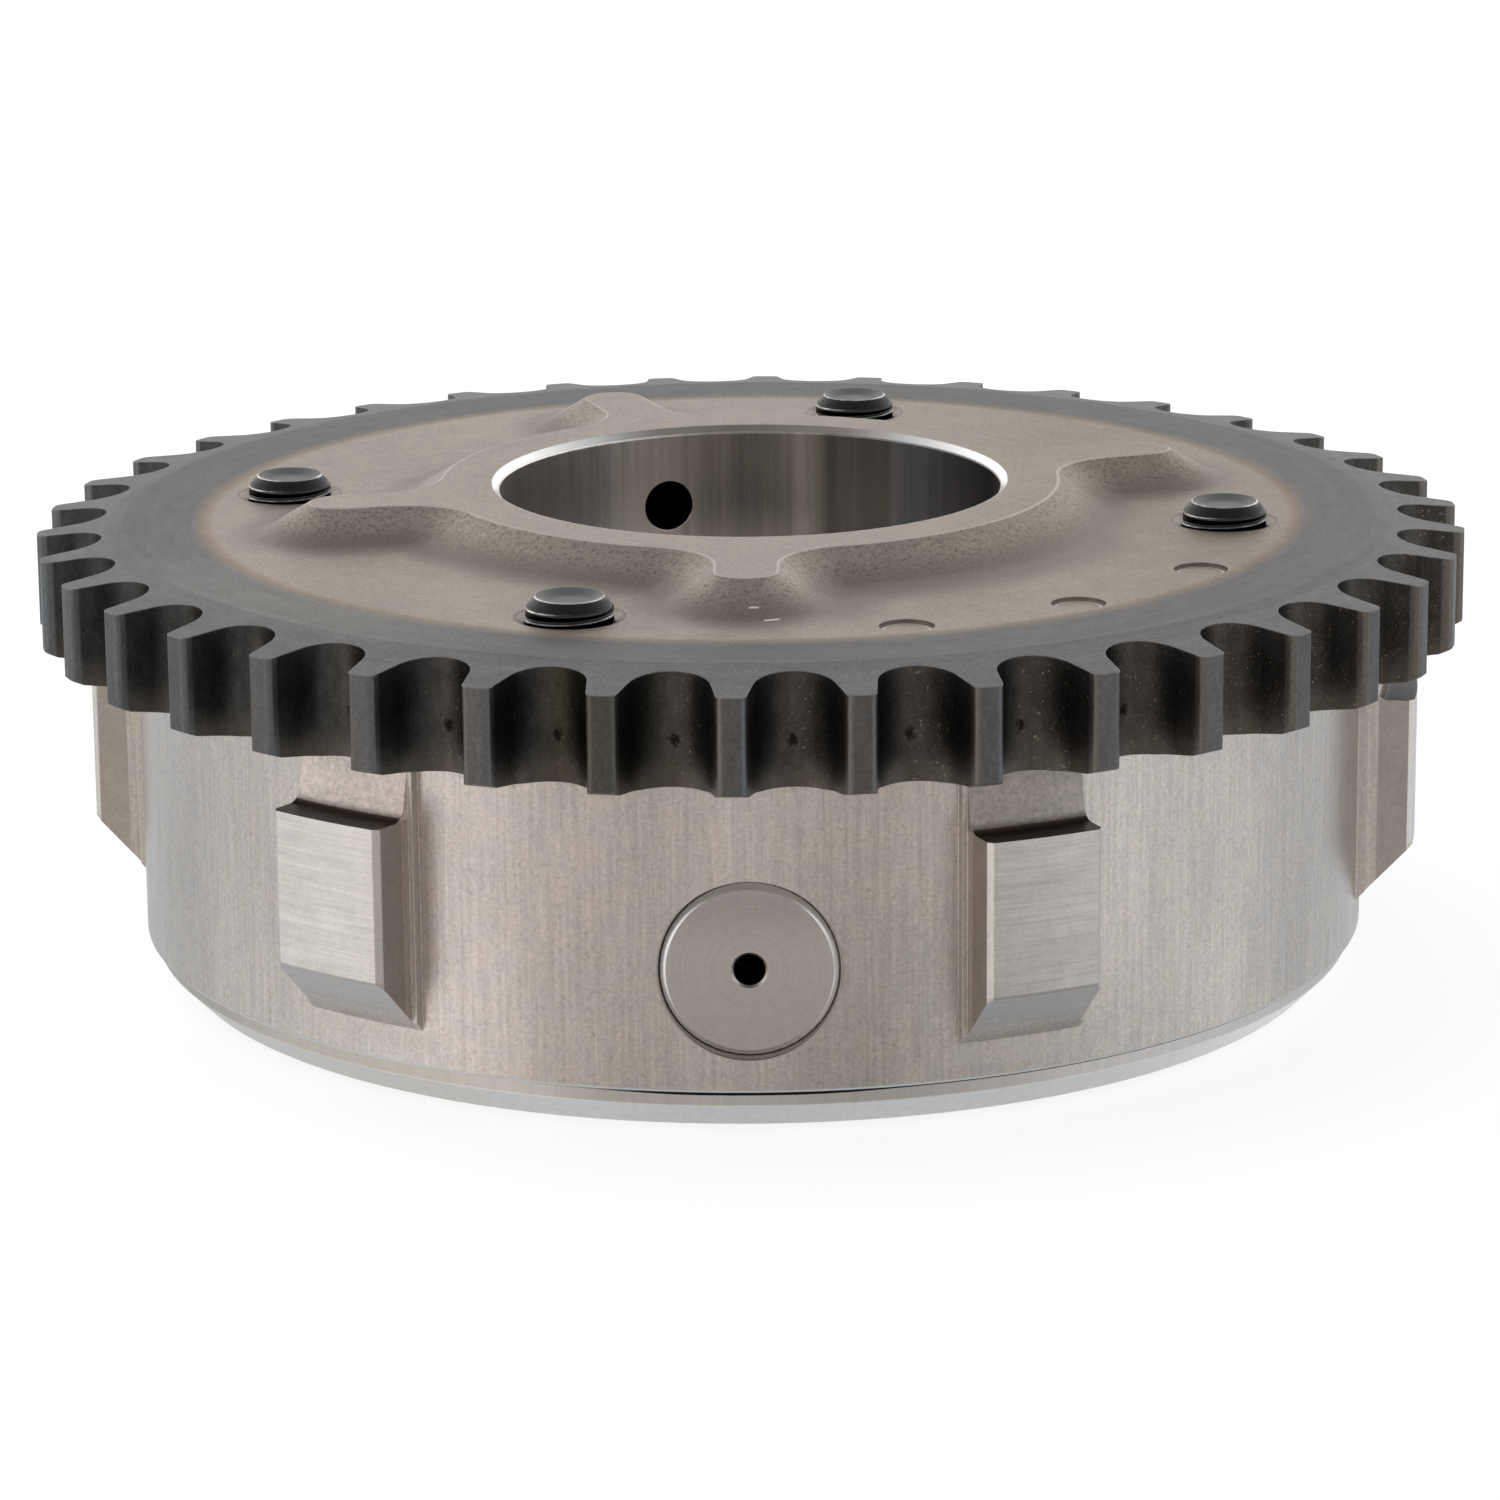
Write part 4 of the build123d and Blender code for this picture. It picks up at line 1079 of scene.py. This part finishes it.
# White to the camera, with a share of real shading in it, which is the shadow
def makeFloor():
    deselectAll()
    bpy.ops.mesh.primitive_plane_add(size=studio["floorSize"], location=(0, 0, -0.00002))
    floor = bpy.context.object
    floor.name = "floor"
    applyPlace(floor)
    bpy.ops.object.mode_set(mode="EDIT")
    bpy.ops.mesh.subdivide(number_cuts=3)
    bpy.ops.object.mode_set(mode="OBJECT")
    f = Finish("pale_floor")
    path = f.add("ShaderNodeLightPath")
    seen = path.outputs["Is Camera Ray"]
    mirrored = f.most(path.outputs["Is Glossy Ray"], path.outputs["Is Transmission Ray"])
    glowing = f.times(seen, 1 - studio["shadowShare"])
    colour = f.blend(glowing, studio["floorColour"], (0.0, 0.0, 0.0))
    shader = f.add("ShaderNodeBsdfDiffuse")
    f.feed(shader.inputs["Color"], colour)
    glow = f.add("ShaderNodeEmission")
    glow.inputs["Color"].default_value = (1, 1, 1, 1)
    strength = studio["glow"] - studio["shadowShare"] * studio["floorColour"][0]
    f.feed(glow.inputs["Strength"], f.times(seen, strength))
    both = f.add("ShaderNodeAddShader")
    f.tree.links.new(shader.outputs[0], both.inputs[0])
    f.tree.links.new(glow.outputs[0], both.inputs[1])

    # In the metal's reflections the floor is clear, apart from a shade in front of the part
    toward = f.along(math.radians(studio["shadeAt"]))
    facing = f.math("DIVIDE", toward, f.most(f.radius, 0.001))
    facing = f.step(facing, math.cos(math.radians(studio["shadeSpread"])), 1.0)
    near = f.step(f.radius, studio["shadeTo"], studio["shadeFrom"])
    shade = f.times(facing, near, studio["shade"])
    clear = f.add("ShaderNodeBsdfTransparent")
    f.feed(clear.inputs["Color"], f.blend(shade, (1.0, 1.0, 1.0), (0.0, 0.0, 0.0)))
    either = f.add("ShaderNodeMixShader")
    f.feed(either.inputs[0], mirrored)
    f.tree.links.new(both.outputs[0], either.inputs[1])
    f.tree.links.new(clear.outputs[0], either.inputs[2])
    output = f.add("ShaderNodeOutputMaterial")
    f.tree.links.new(either.outputs[0], output.inputs["Surface"])
    floor.data.materials.append(f.material)


# White to the camera, and to the part a light that changes softly all the way round
def makeWorld():
    world = bpy.data.worlds.new("white_studio")
    bpy.context.scene.world = world
    world.use_nodes = True
    w = Graph(world.node_tree)
    direction = w.add("ShaderNodeTexCoord").outputs["Generated"]
    x, y, z = w.split(direction)
    around = w.math("ARCTAN2", x, w.times(y, -1.0))
    share = w.math("MULTIPLY_ADD", around, 0.5 / math.pi, 0.5)
    ramp = w.add("ShaderNodeValToRGB")
    ramp.color_ramp.interpolation = "EASE"
    stops = ramp.color_ramp.elements
    levels = studio["sideLight"]
    stops[0].position, stops[1].position = 0.0, 1.0

    def tone(level, warmth):
        return (level * (1 + warmth), level, level * (1 - warmth), 1)

    stops[0].color = stops[1].color = tone(*levels[0][1:])
    for degrees, level, warmth in levels[1:]:
        stops.new((degrees + 180) / 360).color = tone(level, warmth)
    w.feed(ramp.inputs[0], share)
    overhead = w.step(z, studio["climbFrom"], studio["climbTo"])
    climb = w.mixed(overhead, studio["backLight"], studio["zenithLight"])
    toBack = w.step(w.math("ABSOLUTE", around), math.radians(95), math.radians(115))
    behind = w.times(w.step(z, -0.10, 0.10), toBack)
    sides = w.blend(behind, ramp.outputs[0], (1.0, 1.0, 1.0))
    light = w.mixed(w.step(z, -0.10, 0.20), 1.0, climb)
    path = w.add("ShaderNodeLightPath")
    background = w.add("ShaderNodeBackground")
    seen = path.outputs["Is Camera Ray"]
    w.feed(background.inputs["Color"], w.blend(seen, sides, (1.0, 1.0, 1.0)))
    w.feed(background.inputs["Strength"], w.mixed(seen, light, 1.0))
    output = w.add("ShaderNodeOutputWorld")
    w.tree.links.new(background.outputs[0], output.inputs["Surface"])


# A soft lamp that gives the shadow on the floor: the metal shows the white studio instead
def addLamp(name, place, target, size, power):
    lamp = bpy.data.lights.new(name, "AREA")
    lamp.shape = "DISK"
    lamp.size = size
    lamp.energy = power
    holder = bpy.data.objects.new(name, lamp)
    bpy.context.scene.collection.objects.link(holder)
    holder.visible_glossy = False
    holder.location = place
    holder.rotation_euler = (Vector(target) - Vector(place)).to_track_quat("-Z", "Y").to_euler()


# The camera stands where the photograph's did: low, far off and a touch out of level
cameraPlace = {
    "elevation": 15.164,
    "distance": 508.07,
    "aimBelowPlate": 21.115,
    "aimAcross": -0.17,
    "lens": 142.94,
    "roll": 0.5,
}


def makeCamera(place):
    data = bpy.data.cameras.new("camera")
    data.lens = place["lens"]
    data.sensor_width = 36
    data.clip_start = 0.01
    data.clip_end = 20
    camera = bpy.data.objects.new("camera", data)
    bpy.context.scene.collection.objects.link(camera)
    rise = math.radians(place["elevation"])
    tilt = math.radians(place["roll"])
    back = Vector((0, -math.cos(rise), math.sin(rise)))
    right = Vector((1, 0, 0))
    up = back.cross(right)
    rightTilted = right * math.cos(tilt) - up * math.sin(tilt)
    upTilted = right * math.sin(tilt) + up * math.cos(tilt)
    aim = Vector((place["aimAcross"], 0, plateTop - place["aimBelowPlate"]))
    axes = Matrix((rightTilted, upTilted, back)).transposed()
    camera.matrix_world = Matrix.Translation((aim + back * place["distance"]) * mm) @ axes.to_4x4()
    bpy.context.scene.camera = camera


makeFloor()
makeWorld()
addLamp("soft_top", (-0.3, 0.2, 1.0), (0, 0, 0.02), 1.0, 6.0)
makeCamera(cameraPlace)
bpy.context.scene.view_settings.view_transform = "Standard"
print("studio ready")
